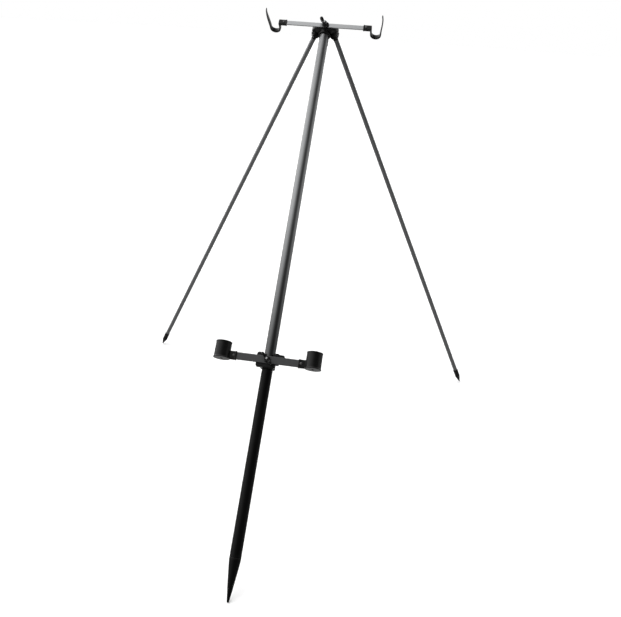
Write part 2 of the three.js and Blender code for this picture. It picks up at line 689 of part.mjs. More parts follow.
const leg = new THREE.Group();
leg.add(upperTube(), ...sandSpike(), headYoke(), yokeRivet());
leg.add(hingeFasteners(-1, "left"), hingeFasteners(1, "right"));
leg.add(rearLeg(-1, "left"), rearLeg(1, "right"));
leg.add(topBar());
const topBarFront = -(HEAD_FRONT + GAP + BAR_THICKNESS);
leg.add(...barFastening("top", topBarFront, TOP_BAR_RISE, 25 + GAP, { radius: 7, dome: 3.5 }));

const clamp = new THREE.Group();
clamp.position.z = -LOWER_BAR_DROP;
clamp.add(...lowerClamp(), lowerBar());
const lowerBarFront = -(CLAMP_FRONT + GAP + BAR_THICKNESS);
const lowHead = { radius: 6.5, dome: 3 };
clamp.add(...barFastening("lower", lowerBarFront, 0, -TUBE_RADIUS - 1 - lowHead.dome, lowHead));
leg.add(clamp);
leg.rotation.x = -LEAN;

// Stood on its feet with the middle of its footprint at the origin
const tripod = new THREE.Group();
tripod.add(leg);
const bounds = new THREE.Box3().setFromObject(tripod, true);
const middle = bounds.getCenter(new THREE.Vector3());
leg.position.set(-middle.x, -middle.y, -bounds.min.z);

export default tripod;
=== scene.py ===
"""The looks of a two-rod beach-casting tripod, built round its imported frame.

Every piece is drawn in the leaning main leg's own frame, in millimetres: the origin is on the main
tube's axis at the head, +Z runs up the leg, -Y faces the angler and X runs along the two bars.
LegFrame then places it in the row frame, in metres.
"""

import json
import logging
from dataclasses import dataclass, field
from enum import Enum
from math import cos, pi, radians, sin

import bmesh
import bpy
import numpy as np
from mathutils import Matrix


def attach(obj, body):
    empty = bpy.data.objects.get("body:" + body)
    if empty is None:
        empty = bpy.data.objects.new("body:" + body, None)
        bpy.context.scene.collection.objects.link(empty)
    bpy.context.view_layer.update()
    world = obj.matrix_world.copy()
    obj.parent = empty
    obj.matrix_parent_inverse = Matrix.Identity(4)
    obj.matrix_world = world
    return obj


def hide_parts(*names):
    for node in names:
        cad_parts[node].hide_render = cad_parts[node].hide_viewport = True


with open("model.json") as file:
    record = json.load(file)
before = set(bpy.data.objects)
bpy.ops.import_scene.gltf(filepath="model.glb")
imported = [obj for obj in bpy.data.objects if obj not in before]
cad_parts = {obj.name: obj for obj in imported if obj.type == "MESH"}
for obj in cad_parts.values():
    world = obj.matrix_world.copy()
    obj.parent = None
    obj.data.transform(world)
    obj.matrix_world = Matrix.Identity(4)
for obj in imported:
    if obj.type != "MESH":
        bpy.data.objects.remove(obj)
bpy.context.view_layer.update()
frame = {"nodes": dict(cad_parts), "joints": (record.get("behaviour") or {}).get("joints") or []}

LOG = logging.getLogger("rod_rest_tripod")
Array = np.ndarray
Outline = list[tuple[float, float]]
Point = tuple[float, float, float]
Colour = tuple[float, float, float, float]
SIDES = ((-1, "left"), (1, "right"))

# Metres in a millimetre; the play round a piece that slides or turns, and the distances at which
# doubled points merge, in millimetres; how strongly a convex edge counts as worn.
MM = 0.001
PLAY = 0.3
MERGE_DRAWN = 1e-4
MERGE_CAD = 1e-3
WEAR_GAIN = 4.0


class Slot(Enum):
    """The record's material slots."""

    TUBE = "grey_anodised"
    BAR_LIGHT = "bar_silver"
    BAR_DARK = "bar_dark"
    LEG = "leg_dark"
    SPIKE = "black_paint"
    NYLON = "black_nylon"
    ZINC = "zinc"
    BLACK_STEEL = "black_steel"
    RUBBER = "rubber"


class Recess(Enum):
    """The drive cut into a screw's head."""

    HEXAGON = "hexagon"
    CROSS = "cross"


# ---------------------------------------------------------------- surfaces


@dataclass
class Surface:
    """A mesh still being drawn: its points and its faces.

    Attributes:
        points: one row of x, y, z per point, in millimetres.
        faces: the point numbers round each face.
    """

    points: Array
    faces: list[list[int]]

    def moved(self, matrix: Array) -> "Surface":
        """The same surface carried by a 4 by 4 matrix."""
        return Surface(self.points @ matrix[:3, :3].T + matrix[:3, 3], self.faces)

    def joined(self, *others: "Surface") -> "Surface":
        """One surface of this and others, side by side.

        Args:
            others: the surfaces to add.

        Returns:
            The points and faces of all of them.
        """
        points, faces = [self.points], list(self.faces)
        start = len(self.points)
        for other in others:
            points.append(other.points)
            faces += [[corner + start for corner in face] for face in other.faces]
            start += len(other.points)
        return Surface(np.concatenate(points), faces)


def skin(grid: Array, ring: bool = False, caps: bool = False) -> Surface:
    """Quads between the neighbouring rows of a grid whose rows are closed loops.

    Args:
        grid: rows by columns by 3 points.
        ring: whether the last row is joined to the first, as on a tube with a bore.
        caps: whether the first and last rows are closed with a flat face.

    Returns:
        The surface.
    """
    rows, columns = grid.shape[:2]
    number = np.arange(rows * columns).reshape(rows, columns)
    if ring:
        number = np.vstack([number, number[:1]])
    low, high = number[:-1], number[1:]
    quads = np.stack([low, np.roll(low, -1, 1), np.roll(high, -1, 1), high], -1)
    faces = quads.reshape(-1, 4).tolist()
    if caps:
        faces += [number[0, ::-1].tolist(), number[-1].tolist()]
    return Surface(grid.reshape(-1, 3), faces)


def dense(profile: Outline, step: float) -> Array:
    """A profile with extra points so that none are further apart than a step.

    Args:
        profile: corners as (radius, height).
        step: the longest stretch allowed, in millimetres.

    Returns:
        One row of radius, height per point.
    """
    corners = np.array(profile, float)
    lengths = np.linalg.norm(np.diff(corners, axis=0), axis=1)
    along = np.concatenate([[0.0], np.cumsum(lengths)])
    marks = [np.linspace(a, b, 1 + int(np.ceil((b - a) / step))) for a, b in zip(along, along[1:])]
    places = np.unique(np.round(np.concatenate(marks), 6))
    return np.stack([np.interp(places, along, corners[:, k]) for k in (0, 1)], 1)


def rounded(profile: Outline, radius: float, steps: int = 4) -> Outline:
    """A profile whose inner corners are rounded.

    Each corner becomes a quadratic arc: (1-t)^2 a + 2t(1-t) corner + t^2 b, where a and b lie on
    the two edges at the given distance, or at 40% of a shorter edge.

    Args:
        profile: the corners.
        radius: how far each arc reaches along its edges.
        steps: points per arc.

    Returns:
        The rounded profile; its first and last points stay.
    """
    corners = [np.array(corner, float) for corner in profile]
    result = [tuple(corners[0])]
    blend = np.linspace(0, 1, steps)[:, None]
    for before, corner, after in zip(corners, corners[1:], corners[2:]):
        back, ahead = before - corner, after - corner
        a = corner + back * min(radius / np.linalg.norm(back), 0.4)
        b = corner + ahead * min(radius / np.linalg.norm(ahead), 0.4)
        arc = (1 - blend) ** 2 * a + 2 * blend * (1 - blend) * corner + blend**2 * b
        result += [tuple(point) for point in arc]
    return result + [tuple(corners[-1])]


def turned(profile: Outline | Array, segments: int = 96) -> Surface:
    """A solid of revolution about Z: x = r cos a, y = r sin a, z = h.

    A profile that starts and ends at the same point makes a ring with a bore.

    Args:
        profile: radius and height along the outline.
        segments: columns round the axis.

    Returns:
        The closed surface.
    """
    shape = np.asarray(profile, float)
    ring = bool(np.allclose(shape[0], shape[-1]))
    if ring:
        shape = shape[:-1]
    angle = np.linspace(0, 2 * pi, segments, endpoint=False)
    return polar(shape[:, :1] * np.ones_like(angle), shape[:, 1:] * np.ones_like(angle), ring)


def polar(radius: Array, height: Array, ring: bool = False) -> Surface:
    """A surface given by its radius and height at each row and angle.

    Args:
        radius: rows by columns.
        height: rows by columns.
        ring: whether the last row joins the first.

    Returns:
        The surface x = r cos a, y = r sin a, z = h.
    """
    angle = np.linspace(0, 2 * pi, radius.shape[1], endpoint=False)
    grid = np.stack([radius * np.cos(angle), radius * np.sin(angle), height], -1)
    return skin(grid, ring)


def superellipse(width: Array, height: Array, power: float, count: int) -> Array:
    """Rounded rectangles: x = w sgn(cos a) |cos a|^(2/p), y = h sgn(sin a) |sin a|^(2/p).

    Args:
        width: half width of each loop.
        height: half height of each loop.
        power: 2 is an ellipse, larger is squarer.
        count: points per loop.

    Returns:
        Loops by points by 2.
    """
    angle = np.linspace(0, 2 * pi, count, endpoint=False)
    across = np.sign(np.cos(angle)) * np.abs(np.cos(angle)) ** (2 / power)
    up = np.sign(np.sin(angle)) * np.abs(np.sin(angle)) ** (2 / power)
    return np.stack([np.outer(width, across), np.outer(height, up)], -1)


def loft(stations: Array, power: float = 6, count: int = 64) -> Surface:
    """Rounded rectangles along X, joined into one closed skin.

    Args:
        stations: rows of x, half width in Z, half thickness in Y.
        power: how square each section is.
        count: points per section.

    Returns:
        The surface, closed by flat ends.
    """
    table = np.asarray(stations, float)
    loops = superellipse(table[:, 2], table[:, 1], power, count)
    along = np.repeat(table[:, :1], count, 1)
    return skin(np.stack([along, loops[..., 0], loops[..., 1]], -1), caps=True)


def swept(path: Array, thick: Array, wide: Array, power: float, count: int = 40) -> Surface:
    """A strip carried along a path in the XY plane.

    A section point is path + a n + b z, where n is the path's normal, a runs over the strip's
    thickness and b over its width.

    Args:
        path: points of the centre line, x and y.
        thick: half thickness at each point.
        wide: half width at each point.
        power: how square the section is.
        count: points per section.

    Returns:
        The surface, closed by flat ends.
    """
    tangent = np.gradient(path, axis=0)
    tangent /= np.linalg.norm(tangent, axis=1, keepdims=True)
    normal = np.stack([-tangent[:, 1], tangent[:, 0]], 1)
    loops = superellipse(thick, wide, power, count)
    flat = path[:, None, :] + loops[..., :1] * normal[:, None, :]
    return skin(np.concatenate([flat, loops[..., 1:]], -1), caps=True)


def bezier(start: tuple, first: tuple, second: tuple, end: tuple, count: int) -> Array:
    """A cubic curve: (1-t)^3 a + 3t(1-t)^2 b + 3t^2(1-t) c + t^3 d.

    Args:
        start, first, second, end: its four control points.
        count: how many points.

    Returns:
        The points.
    """
    t = np.linspace(0, 1, count)[:, None]
    a, b, c, d = (np.array(point, float) for point in (start, first, second, end))
    return (1 - t) ** 3 * a + 3 * t * (1 - t) ** 2 * b + 3 * t**2 * (1 - t) * c + t**3 * d


def extruded(outline: Array, low: float, high: float, rim: float) -> Surface:
    """A flat outline carried from z = low to high, its rims rounded to a quarter circle.

    The inset at each level is rim (1 - sin a) and its height rim (1 - cos a) from the face. Points
    move in along the outline's own normals.

    Args:
        outline: points round it, anticlockwise.
        low: lower face.
        high: upper face.
        rim: radius of the rims.

    Returns:
        The closed surface.
    """
    edge = np.roll(outline, -1, 0) - np.roll(outline, 1, 0)
    edge /= np.linalg.norm(edge, axis=1, keepdims=True)
    inward = np.stack([-edge[:, 1], edge[:, 0]], 1)
    quarter = np.linspace(0, pi / 2, 5)
    inset = np.concatenate([rim * (1 - np.sin(quarter)), rim * (1 - np.sin(quarter[::-1]))])
    level = np.concatenate([low + rim * (1 - np.cos(quarter)), high - rim * (1 - np.cos(quarter[::-1]))])
    rows = outline[None] + inset[:, None, None] * inward[None]
    heights = np.repeat(level[:, None, None], len(outline), 1)
    return skin(np.concatenate([rows, heights], -1), caps=True)


def hexagon(angle: Array, across: float) -> Array:
    """Radius of a hexagon at each angle, from its distance across two flats."""
    wedge = (angle + pi / 6) % (pi / 3) - pi / 6
    return across / 2 / np.cos(wedge)


def cross(angle: Array, reach: float, half: float) -> Array:
    """Radius of a cross at each angle: the larger of two crossed rectangles.

    Args:
        angle: where round the cross.
        reach: half the length of its arms.
        half: half their width.

    Returns:
        The radius at each angle.
    """
    c = np.maximum(np.abs(np.cos(angle)), 1e-6)
    s = np.maximum(np.abs(np.sin(angle)), 1e-6)
    return np.maximum(np.minimum(reach / c, half / s), np.minimum(half / c, reach / s))


# ---------------------------------------------------------------- placing and finishing meshes


def basis(origin: Point | Array, x: Point | Array, y: Point | Array, z: Point | Array) -> Array:
    """The matrix of a frame given by its origin and axes.

    Args:
        origin: its origin.
        x: its X axis.
        y: its Y axis.
        z: its Z axis.

    Returns:
        The four by four matrix.
    """
    matrix = np.eye(4)
    matrix[:3] = np.stack([x, y, z, origin], 1)
    return matrix


def facing_front(x: float, y: float, z: float) -> Array:
    """A frame whose Z axis points to the angler."""
    return basis((x, y, z), (1, 0, 0), (0, 0, 1), (0, -1, 0))


def facing_back(x: float, y: float, z: float) -> Array:
    """A frame whose Z axis points away from the angler."""
    return basis((x, y, z), (1, 0, 0), (0, 0, -1), (0, 1, 0))


def shift(x: float, y: float, z: float) -> Array:
    """A frame moved without turning."""
    return basis((x, y, z), (1, 0, 0), (0, 1, 0), (0, 0, 1))


@dataclass(frozen=True)
class LegFrame:
    """The main leg's frame in the row frame.

    Attributes:
        lean: how far the leg leans back from upright, in degrees.
        pivot: a known point of the leg frame, in millimetres.
    """

    lean: float = 42.0
    pivot: tuple[float, float, float] = (0.0, -24.0, 20.0)

    def turn(self) -> Array:
        """The rotation from the leg frame to the row frame."""
        c, s = cos(radians(self.lean)), sin(radians(self.lean))
        return np.array([[1, 0, 0], [0, c, s], [0, -s, c]])

    def matrix(self) -> Array:
        """Millimetres in the leg frame to metres in the row frame.

        Returns:
            The four by four matrix.
        """
        tilt = next(joint for joint in frame["joints"] if joint["name"] == "top_bar_tilt")
        matrix = np.eye(4)
        matrix[:3, :3] = self.turn() * MM
        matrix[:3, 3] = np.array(tilt["pos_m"]) - matrix[:3, :3] @ np.array(self.pivot)
        return matrix


LEG = LegFrame()


@dataclass(frozen=True)
class Softening:
    """How a moulded piece's edges are softened: a voxel skin, then smoothing.

    Attributes:
        voxel: voxel size, in millimetres.
        rounds: smoothing rounds.
    """

    voxel: float
    rounds: int


def added(name: str, data: bpy.types.ID) -> bpy.types.Object:
    """A new object in the scene, for a mesh or a camera.

    Args:
        name: the object's name.
        data: its mesh or camera.

    Returns:
        The object.
    """
    made = bpy.data.objects.new(name, data)
    bpy.context.scene.collection.objects.link(made)
    return made


def merge(mesh: bpy.types.Mesh, distance: float, outwards: bool) -> None:
    """Merges a mesh's doubled points and, where asked, turns its faces outwards.

    Args:
        mesh: the mesh to change.
        distance: points nearer than this become one, in the mesh's own unit.
        outwards: whether the faces are turned outwards afterwards.
    """
    shape = bmesh.new()
    shape.from_mesh(mesh)
    bmesh.ops.remove_doubles(shape, verts=shape.verts, dist=distance)
    if outwards:
        bmesh.ops.recalc_face_normals(shape, faces=shape.faces)
    shape.to_mesh(mesh)
    shape.free()


def raw_mesh(name: str, surface: Surface) -> bpy.types.Mesh:
    """A Blender mesh of a surface, merged at seams and poles, with its faces turned outwards.

    Args:
        name: the mesh's name.
        surface: points and faces.

    Returns:
        The mesh, in millimetres.
    """
    mesh = bpy.data.meshes.new(name)
    mesh.from_pydata(surface.points.tolist(), [], surface.faces)
    merge(mesh, MERGE_DRAWN, outwards=True)
    return mesh


def with_modifiers(source: bpy.types.Object) -> bpy.types.Mesh:
    """The mesh of an object with its modifiers applied; the object itself is removed.

    Args:
        source: the object, which is used up.

    Returns:
        The new mesh.
    """
    graph = bpy.context.evaluated_depsgraph_get()
    mesh = bpy.data.meshes.new_from_object(source.evaluated_get(graph))
    bpy.data.objects.remove(source)
    return mesh


def softened(mesh: bpy.types.Mesh, softening: Softening) -> bpy.types.Mesh:
    """A mesh re-skinned in small voxels and smoothed, as a moulded part's edges are.

    Args:
        mesh: the sharp mesh, in millimetres.
        softening: voxel size and smoothing.

    Returns:
        The softened mesh.
    """
    holder = added(mesh.name, mesh)
    remesh = holder.modifiers.new("skin", "REMESH")
    remesh.mode = "VOXEL"
    remesh.voxel_size = softening.voxel
    smooth = holder.modifiers.new("smooth", "SMOOTH")
    smooth.factor = 0.5
    smooth.iterations = softening.rounds
    return with_modifiers(holder)


def carved(mesh: bpy.types.Mesh, tools: list[Surface]) -> bpy.types.Mesh:
    """A mesh with each tool cut out of it.

    Args:
        mesh: the closed mesh to cut, in millimetres.
        tools: closed surfaces to remove.

    Returns:
        The cut mesh.
    """
    merge(mesh, MERGE_DRAWN, outwards=True)
    holder = added(mesh.name, mesh)
    cutters = []
    for tool in tools:
        cutter = added("cutter", raw_mesh("cutter", tool))
        cut = holder.modifiers.new("cut", "BOOLEAN")
        cut.operation = "DIFFERENCE"
        cut.solver = "EXACT"
        cut.object = cutter
        cutters.append(cutter)
    mesh = with_modifiers(holder)
    for cutter in cutters:
        bpy.data.objects.remove(cutter)
    return mesh


def cad_mesh(node: str) -> bpy.types.Mesh:
    """A merged copy of a CAD node's mesh, carried into the leg frame in millimetres.

    Args:
        node: the CAD node.

    Returns:
        The copy.
    """
    mesh = frame["nodes"][node].data.copy()
    mesh.name = node
    mesh.transform(Matrix(np.linalg.inv(LEG.matrix()).tolist()))
    merge(mesh, MERGE_CAD, outwards=False)
    mesh.materials.clear()
    return mesh


def coordinates(mesh: bpy.types.Mesh, what: str = "co") -> Array:
    """Positions or normals of a mesh's points, one row each.

    Args:
        mesh: the mesh.
        what: "co" for positions, "normal" for normals.

    Returns:
        The rows, one for each point.
    """
    flat = np.empty(len(mesh.vertices) * 3)
    mesh.vertices.foreach_get(what, flat)
    return flat.reshape(-1, 3)


def edge_wear(mesh: bpy.types.Mesh) -> Array:
    """How sharply convex the surface is at each point, from 0 to 1.

    It is the mean step to the neighbouring points, measured against the normal and divided by the
    mean distance to them.

    Args:
        mesh: the finished mesh.

    Returns:
        One value per point.
    """
    points, normals = coordinates(mesh), coordinates(mesh, "normal")
    pairs = np.empty(len(mesh.edges) * 2, dtype=np.int32)
    mesh.edges.foreach_get("vertices", pairs)
    a, b = pairs.reshape(-1, 2).T
    step = points[b] - points[a]
    size = np.linalg.norm(step, axis=1)
    height, length = np.zeros(len(points)), np.zeros(len(points))
    for here, way in ((a, 1.0), (b, -1.0)):
        np.add.at(height, here, way * np.einsum("ij,ij->i", step, normals[here]))
        np.add.at(length, here, size)
    return np.clip(-height / np.maximum(length, 1e-9) * WEAR_GAIN, 0, 1)


def add_attribute(mesh: bpy.types.Mesh, name: str, kind: str, key: str, values: Array) -> None:
    """Stores one value or vector per point under a name that materials can read."""
    mesh.attributes.new(name, kind, "POINT").data.foreach_set(key, values.astype(np.float32).ravel())


@dataclass(frozen=True)
class Part:
    """Where a finished piece belongs.

    Attributes:
        node: the CAD node it stands for.
        body: the body it rides on.
        slot: the record's material slot.
    """

    node: str
    body: str
    slot: Slot


def place_piece(part: Part, mesh: bpy.types.Mesh, place: Array, crease: float = 35.0) -> None:
    """Puts a finished mesh in the row frame and ties it to its body, node, slot and finish.

    Args:
        part: where the piece belongs.
        mesh: the mesh, in millimetres, in its own frame.
        place: its frame in the leg frame.
        crease: edges sharper than this stay crisp, in degrees.
    """
    name = f"{part.node}_skin"
    mesh.name = name
    own = coordinates(mesh)
    full = LEG.matrix() @ place
    mesh.vertices.foreach_set("co", (own @ full[:3, :3].T + full[:3, 3]).ravel())
    mesh.update()
    add_attribute(mesh, "own_frame", "FLOAT_VECTOR", "vector", own * MM)
    add_attribute(mesh, "edge_wear", "FLOAT", "value", edge_wear(mesh))
    mesh.shade_smooth()
    mesh.set_sharp_from_angle(angle=radians(crease))
    mesh.materials.clear()
    mesh.materials.append(FINISHES[part.slot].material())
    piece = added(name, mesh)
    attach(piece, part.body)
    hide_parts(part.node)
    LOG.info("%s: %d faces", name, len(mesh.polygons))


def build_turned(part: Part, profile: Outline, place: Array, segments: int = 96) -> None:
    """Makes a turned piece from its profile, with rings no further than 12 mm apart, and places it."""
    place_piece(part, raw_mesh(part.node, turned(dense(profile, 12.0), segments)), place)


def build_moulded(part: Part, mesh: bpy.types.Mesh, place: Array, softening: Softening) -> None:
    """Softens a moulded piece's mesh and places it; only edges over 70 degrees stay crisp."""
    place_piece(part, softened(mesh, softening), place, crease=70.0)


# ---------------------------------------------------------------- finishes


class NodeSheet:
    """The nodes of a material or of the surround, with short calls for what the finishes share."""

    def __init__(self, owner: bpy.types.ID, shader: str = "ShaderNodeBsdfPrincipled",
                 output: str = "ShaderNodeOutputMaterial") -> None:
        """Clears the owner's nodes and adds one shader.

        Args:
            owner: the material or world.
            shader: the shader's node type.
            output: the output's node type.
        """
        owner.use_nodes = True
        self.tree = owner.node_tree
        self.tree.nodes.clear()
        self.shader = self.tree.nodes.new(shader)
        self.tree.links.new(self.shader.outputs[0], self.tree.nodes.new(output).inputs["Surface"])

    def feed(self, socket: bpy.types.NodeSocket, value: object) -> None:
        """Links a socket to an output, or sets its number, colour or vector."""
        if isinstance(value, bpy.types.NodeSocket):
            self.tree.links.new(value, socket)
        else:
            socket.default_value = value

    def node(self, kind: str, inputs: dict, **settings: object) -> bpy.types.Node:
        """Adds a node.

        Args:
            kind: the node's type.
            inputs: socket name or number to its value or source.
            settings: the node's own properties.

        Returns:
            The node.
        """
        made = self.tree.nodes.new(kind)
        for key, value in settings.items():
            setattr(made, key, value)
        for key, value in inputs.items():
            self.feed(made.inputs[key], value)
        return made

    def set(self, **numbers: object) -> None:
        """Sets the shader's sockets; an underscore in a name stands for a space."""
        for key, value in numbers.items():
            self.feed(self.shader.inputs[key.replace("_", " ")], value)

    def space(self) -> bpy.types.NodeSocket:
        """Positions in the row frame, in metres."""
        return self.node("ShaderNodeTexCoord", {}).outputs["Object"]

    def own(self) -> bpy.types.NodeSocket:
        """Positions in the piece's own frame, in metres, with Z along it."""
        return self.node("ShaderNodeAttribute", {}, attribute_name="own_frame").outputs["Vector"]

    def wear(self) -> bpy.types.NodeSocket:
        """How sharply convex the surface is, from 0 to 1."""
        return self.node("ShaderNodeAttribute", {}, attribute_name="edge_wear").outputs["Fac"]

    def stretched(self, vector: bpy.types.NodeSocket, scale: Point) -> bpy.types.NodeSocket:
        """A coordinate stretched by a factor along each axis."""
        return self.node("ShaderNodeMapping", {"Vector": vector, "Scale": scale}).outputs[0]

    def noise(self, vector: bpy.types.NodeSocket, scale: float, detail: float) -> bpy.types.NodeSocket:
        """A cloudy value from 0 to 1, with a number of blots per metre and of finer layers."""
        inputs = {"Vector": vector, "Scale": scale, "Detail": detail, "Roughness": 0.6}
        return self.node("ShaderNodeTexNoise", inputs).outputs["Fac"]

    def between(self, value: object, low: float, high: float, to_low: float,
                to_high: float) -> bpy.types.NodeSocket:
        """A value carried from one range to another, and held at its ends."""
        inputs = {0: value, 1: low, 2: high, 3: to_low, 4: to_high}
        return self.node("ShaderNodeMapRange", inputs, clamp=True).outputs[0]

    def math(self, operation: str, first: object, second: object) -> bpy.types.NodeSocket:
        """A sum, product or other operation on two values."""
        return self.node("ShaderNodeMath", {0: first, 1: second}, operation=operation).outputs[0]

    def tint(self, share: object, first: object, second: object) -> bpy.types.NodeSocket:
        """A colour between two colours."""
        return self.node("ShaderNodeMix", {0: share, 6: first, 7: second}, data_type="RGBA").outputs[2]

    def rubbed(self, base: object, share: object, bright: Colour) -> bpy.types.NodeSocket:
        """A colour whose worn edges turn to another, by a share of their wear."""
        return self.tint(self.math("MULTIPLY", self.wear(), share), base, bright)

    def relief(self, height: object, depth: float, below: object = None) -> bpy.types.NodeSocket:
        """A normal pushed in and out by a height, with a depth in metres, on top of another normal.

        Args:
            height: what pushes it.
            depth: how far, in metres.
            below: the normal underneath, if there is one.

        Returns:
            The pushed normal.
        """
        inputs = {"Height": height, "Distance": depth, "Strength": 1.0}
        if below is not None:
            inputs["Normal"] = below
        return self.node("ShaderNodeBump", inputs).outputs[0]


def grey(value: float, warm: float = 0.0) -> Colour:
    """A neutral colour, a little warmer or cooler."""
    return (value * (1 + warm), value, value * (1 - warm), 1.0)


# Where most of a noise's values lie; a finish spreads its roughness over them.
MIDDLE = (0.3, 0.7)


@dataclass
class Finish:
    """A finish shared by all the pieces of one material slot.

    Attributes:
        name: the material's name.
        made: the material, once built.
    """

    name: str
    made: bpy.types.Material | None = field(default=None, init=False)

    def material(self) -> bpy.types.Material:
        """The finish's material, built the first time it is asked for."""
        if self.made is None:
            self.made = bpy.data.materials.new(self.name)
            self.dress(NodeSheet(self.made))
        return self.made

    def dress(self, sheet: NodeSheet) -> None:
        """Adds the finish's nodes."""
        raise NotImplementedError


@dataclass
class Anodised(Finish):
    """Drawn aluminium with an anodised skin: fine lines along the piece under a satin film.

    Attributes:
        value: how light the colour is.
        roughness: of the satin film.
        stretch: how the draw lines lie in the piece's own frame.
        metal: how metallic the film looks.
        shade_heights: heights between which painted shade darkens the lower end, in metres; it stands in for
            the light falling off down the tube.
        shade_depth: how much of the film the painted shade hides at its darkest.
        fine, broad: draw lines per metre, across them.
        cloud, mark: cloudy patches and handling marks per metre.
    """

    value: float
    roughness: float
    stretch: Point
    metal: float = 1.0
    shade_heights: tuple[float, float] | None = None
    shade_depth: float = 0.82
    fine: float = 1400
    broad: float = 260
    cloud: float = 14
    mark: float = 95

    def dress(self, sheet: NodeSheet) -> None:
        """Adds draw lines, handling marks, a cloudy film, paler worn edges and, where asked, painted shade
        that darkens the lower end.

        Args:
            sheet: the nodes to add to.
        """
        own = sheet.own()
        along = sheet.stretched(own, self.stretch)
        lines, broad = sheet.noise(along, self.fine, 4), sheet.noise(along, self.broad, 2)
        clouds = sheet.noise(sheet.space(), self.cloud, 4)
        marks = sheet.between(sheet.noise(sheet.space(), self.mark, 6), 0.62, 0.72, 0, 1)
        film = sheet.tint(clouds, grey(self.value * 0.9, -0.008), grey(self.value * 1.1, -0.02))
        lined = sheet.tint(sheet.between(lines, *MIDDLE, 0, 0.22), film, grey(self.value * 0.72, -0.01))
        bare = grey(min(self.value * 1.7 + 0.1, 0.85))
        base = sheet.rubbed(lined, sheet.between(broad, 0.4, 0.6, 0.15, 0.6), bare)
        # Painted shade: the film darkens towards the lower end, by height, standing in for the light falling
        # off down the tube.
        if self.shade_heights is not None:
            height = sheet.node("ShaderNodeSeparateXYZ", {0: own}).outputs["Z"]
            painted_shade = sheet.between(height, *self.shade_heights, self.shade_depth, 0.0)
            patchy_shade = sheet.math("MULTIPLY", painted_shade, sheet.between(clouds, 0.2, 0.7, 0.85, 1.0))
            base = sheet.tint(patchy_shade, base, grey(self.value * 0.12))
        satin = sheet.between(clouds, *MIDDLE, self.roughness - 0.05, self.roughness + 0.06)
        handled = sheet.math("ADD", satin, sheet.math("MULTIPLY", marks, 0.07))
        normal = sheet.relief(lines, 0.000012, sheet.relief(broad, 0.00002))
        sheet.set(Base_Color=base, Metallic=self.metal, Roughness=handled, Normal=normal)


@dataclass
class SatinPaint(Finish):
    """Satin black paint on steel, with a fine orange peel and scuffs from sand.

    Attributes:
        value: how light the paint is.
        peel, patch, scuff: pimples, rubbed patches and scuff lines per metre.
    """

    value: float = 0.002
    peel: float = 420
    patch: float = 18
    scuff: float = 700

    def dress(self, sheet: NodeSheet) -> None:
        """Adds orange peel, rubbed patches, scuff lines along the tube and dusty edges.

        Args:
            sheet: the nodes to add to.
        """
        space = sheet.space()
        peel, patches = sheet.noise(space, self.peel, 3), sheet.noise(space, self.patch, 5)
        streaks = sheet.noise(sheet.stretched(sheet.own(), (1, 1, 0.06)), self.scuff, 5)
        scuffs = sheet.between(streaks, 0.66, 0.74, 0, 1)
        scuffed = sheet.math("MULTIPLY", scuffs, sheet.between(patches, 0.45, 0.65, 0, 0.5))
        film = sheet.tint(patches, grey(self.value), grey(self.value * 1.9))
        worn = sheet.tint(scuffed, film, grey(0.03, 0.03))
        dusty = sheet.rubbed(worn, 0.15, grey(0.05, 0.04))
        satin = sheet.between(patches, *MIDDLE, 0.3, 0.42)
        rough = sheet.math("ADD", satin, sheet.math("MULTIPLY", scuffs, 0.12))
        normal = sheet.relief(scuffs, 0.00002, sheet.relief(peel, 0.00004))
        sheet.set(Base_Color=dusty, Roughness=rough, Normal=normal, Metallic=0.0)
        sheet.set(Specular_IOR_Level=0.055, Coat_Weight=0.015, Coat_Roughness=0.3)


@dataclass
class MouldedNylon(Finish):
    """Glass-filled black nylon: a sparked grain, flow marks and edges rubbed shiny.

    Attributes:
        value: how light the nylon is.
        grain, coarse: the mould's two grains per metre.
        flow, speck: flow marks and fibre ends per metre.
    """

    value: float = 0.003
    grain: float = 2100
    coarse: float = 620
    flow: float = 32
    speck: float = 3300

    def dress(self, sheet: NodeSheet) -> None:
        """Adds the mould's grain, cloudy flow marks, pale fibre specks and rubbed edges.

        Args:
            sheet: the nodes to add to.
        """
        space = sheet.space()
        grain, coarse = sheet.noise(space, self.grain, 2), sheet.noise(space, self.coarse, 3)
        flow = sheet.noise(sheet.stretched(space, (1, 1, 2.4)), self.flow, 5)
        specks = sheet.between(sheet.noise(space, self.speck, 1), 0.7, 0.78, 0, 0.3)
        film = sheet.tint(flow, grey(self.value), grey(self.value * 2.1))
        base = sheet.rubbed(sheet.tint(specks, film, grey(0.03)), 0.5, grey(0.03))
        matt = sheet.between(flow, *MIDDLE, 0.25, 0.36)
        rough = sheet.math("SUBTRACT", matt, sheet.math("MULTIPLY", sheet.wear(), 0.08))
        normal = sheet.relief(grain, 0.00003, sheet.relief(coarse, 0.00005))
        sheet.set(Base_Color=base, Roughness=rough, Normal=normal, Metallic=0.0, Specular_IOR_Level=0.14)


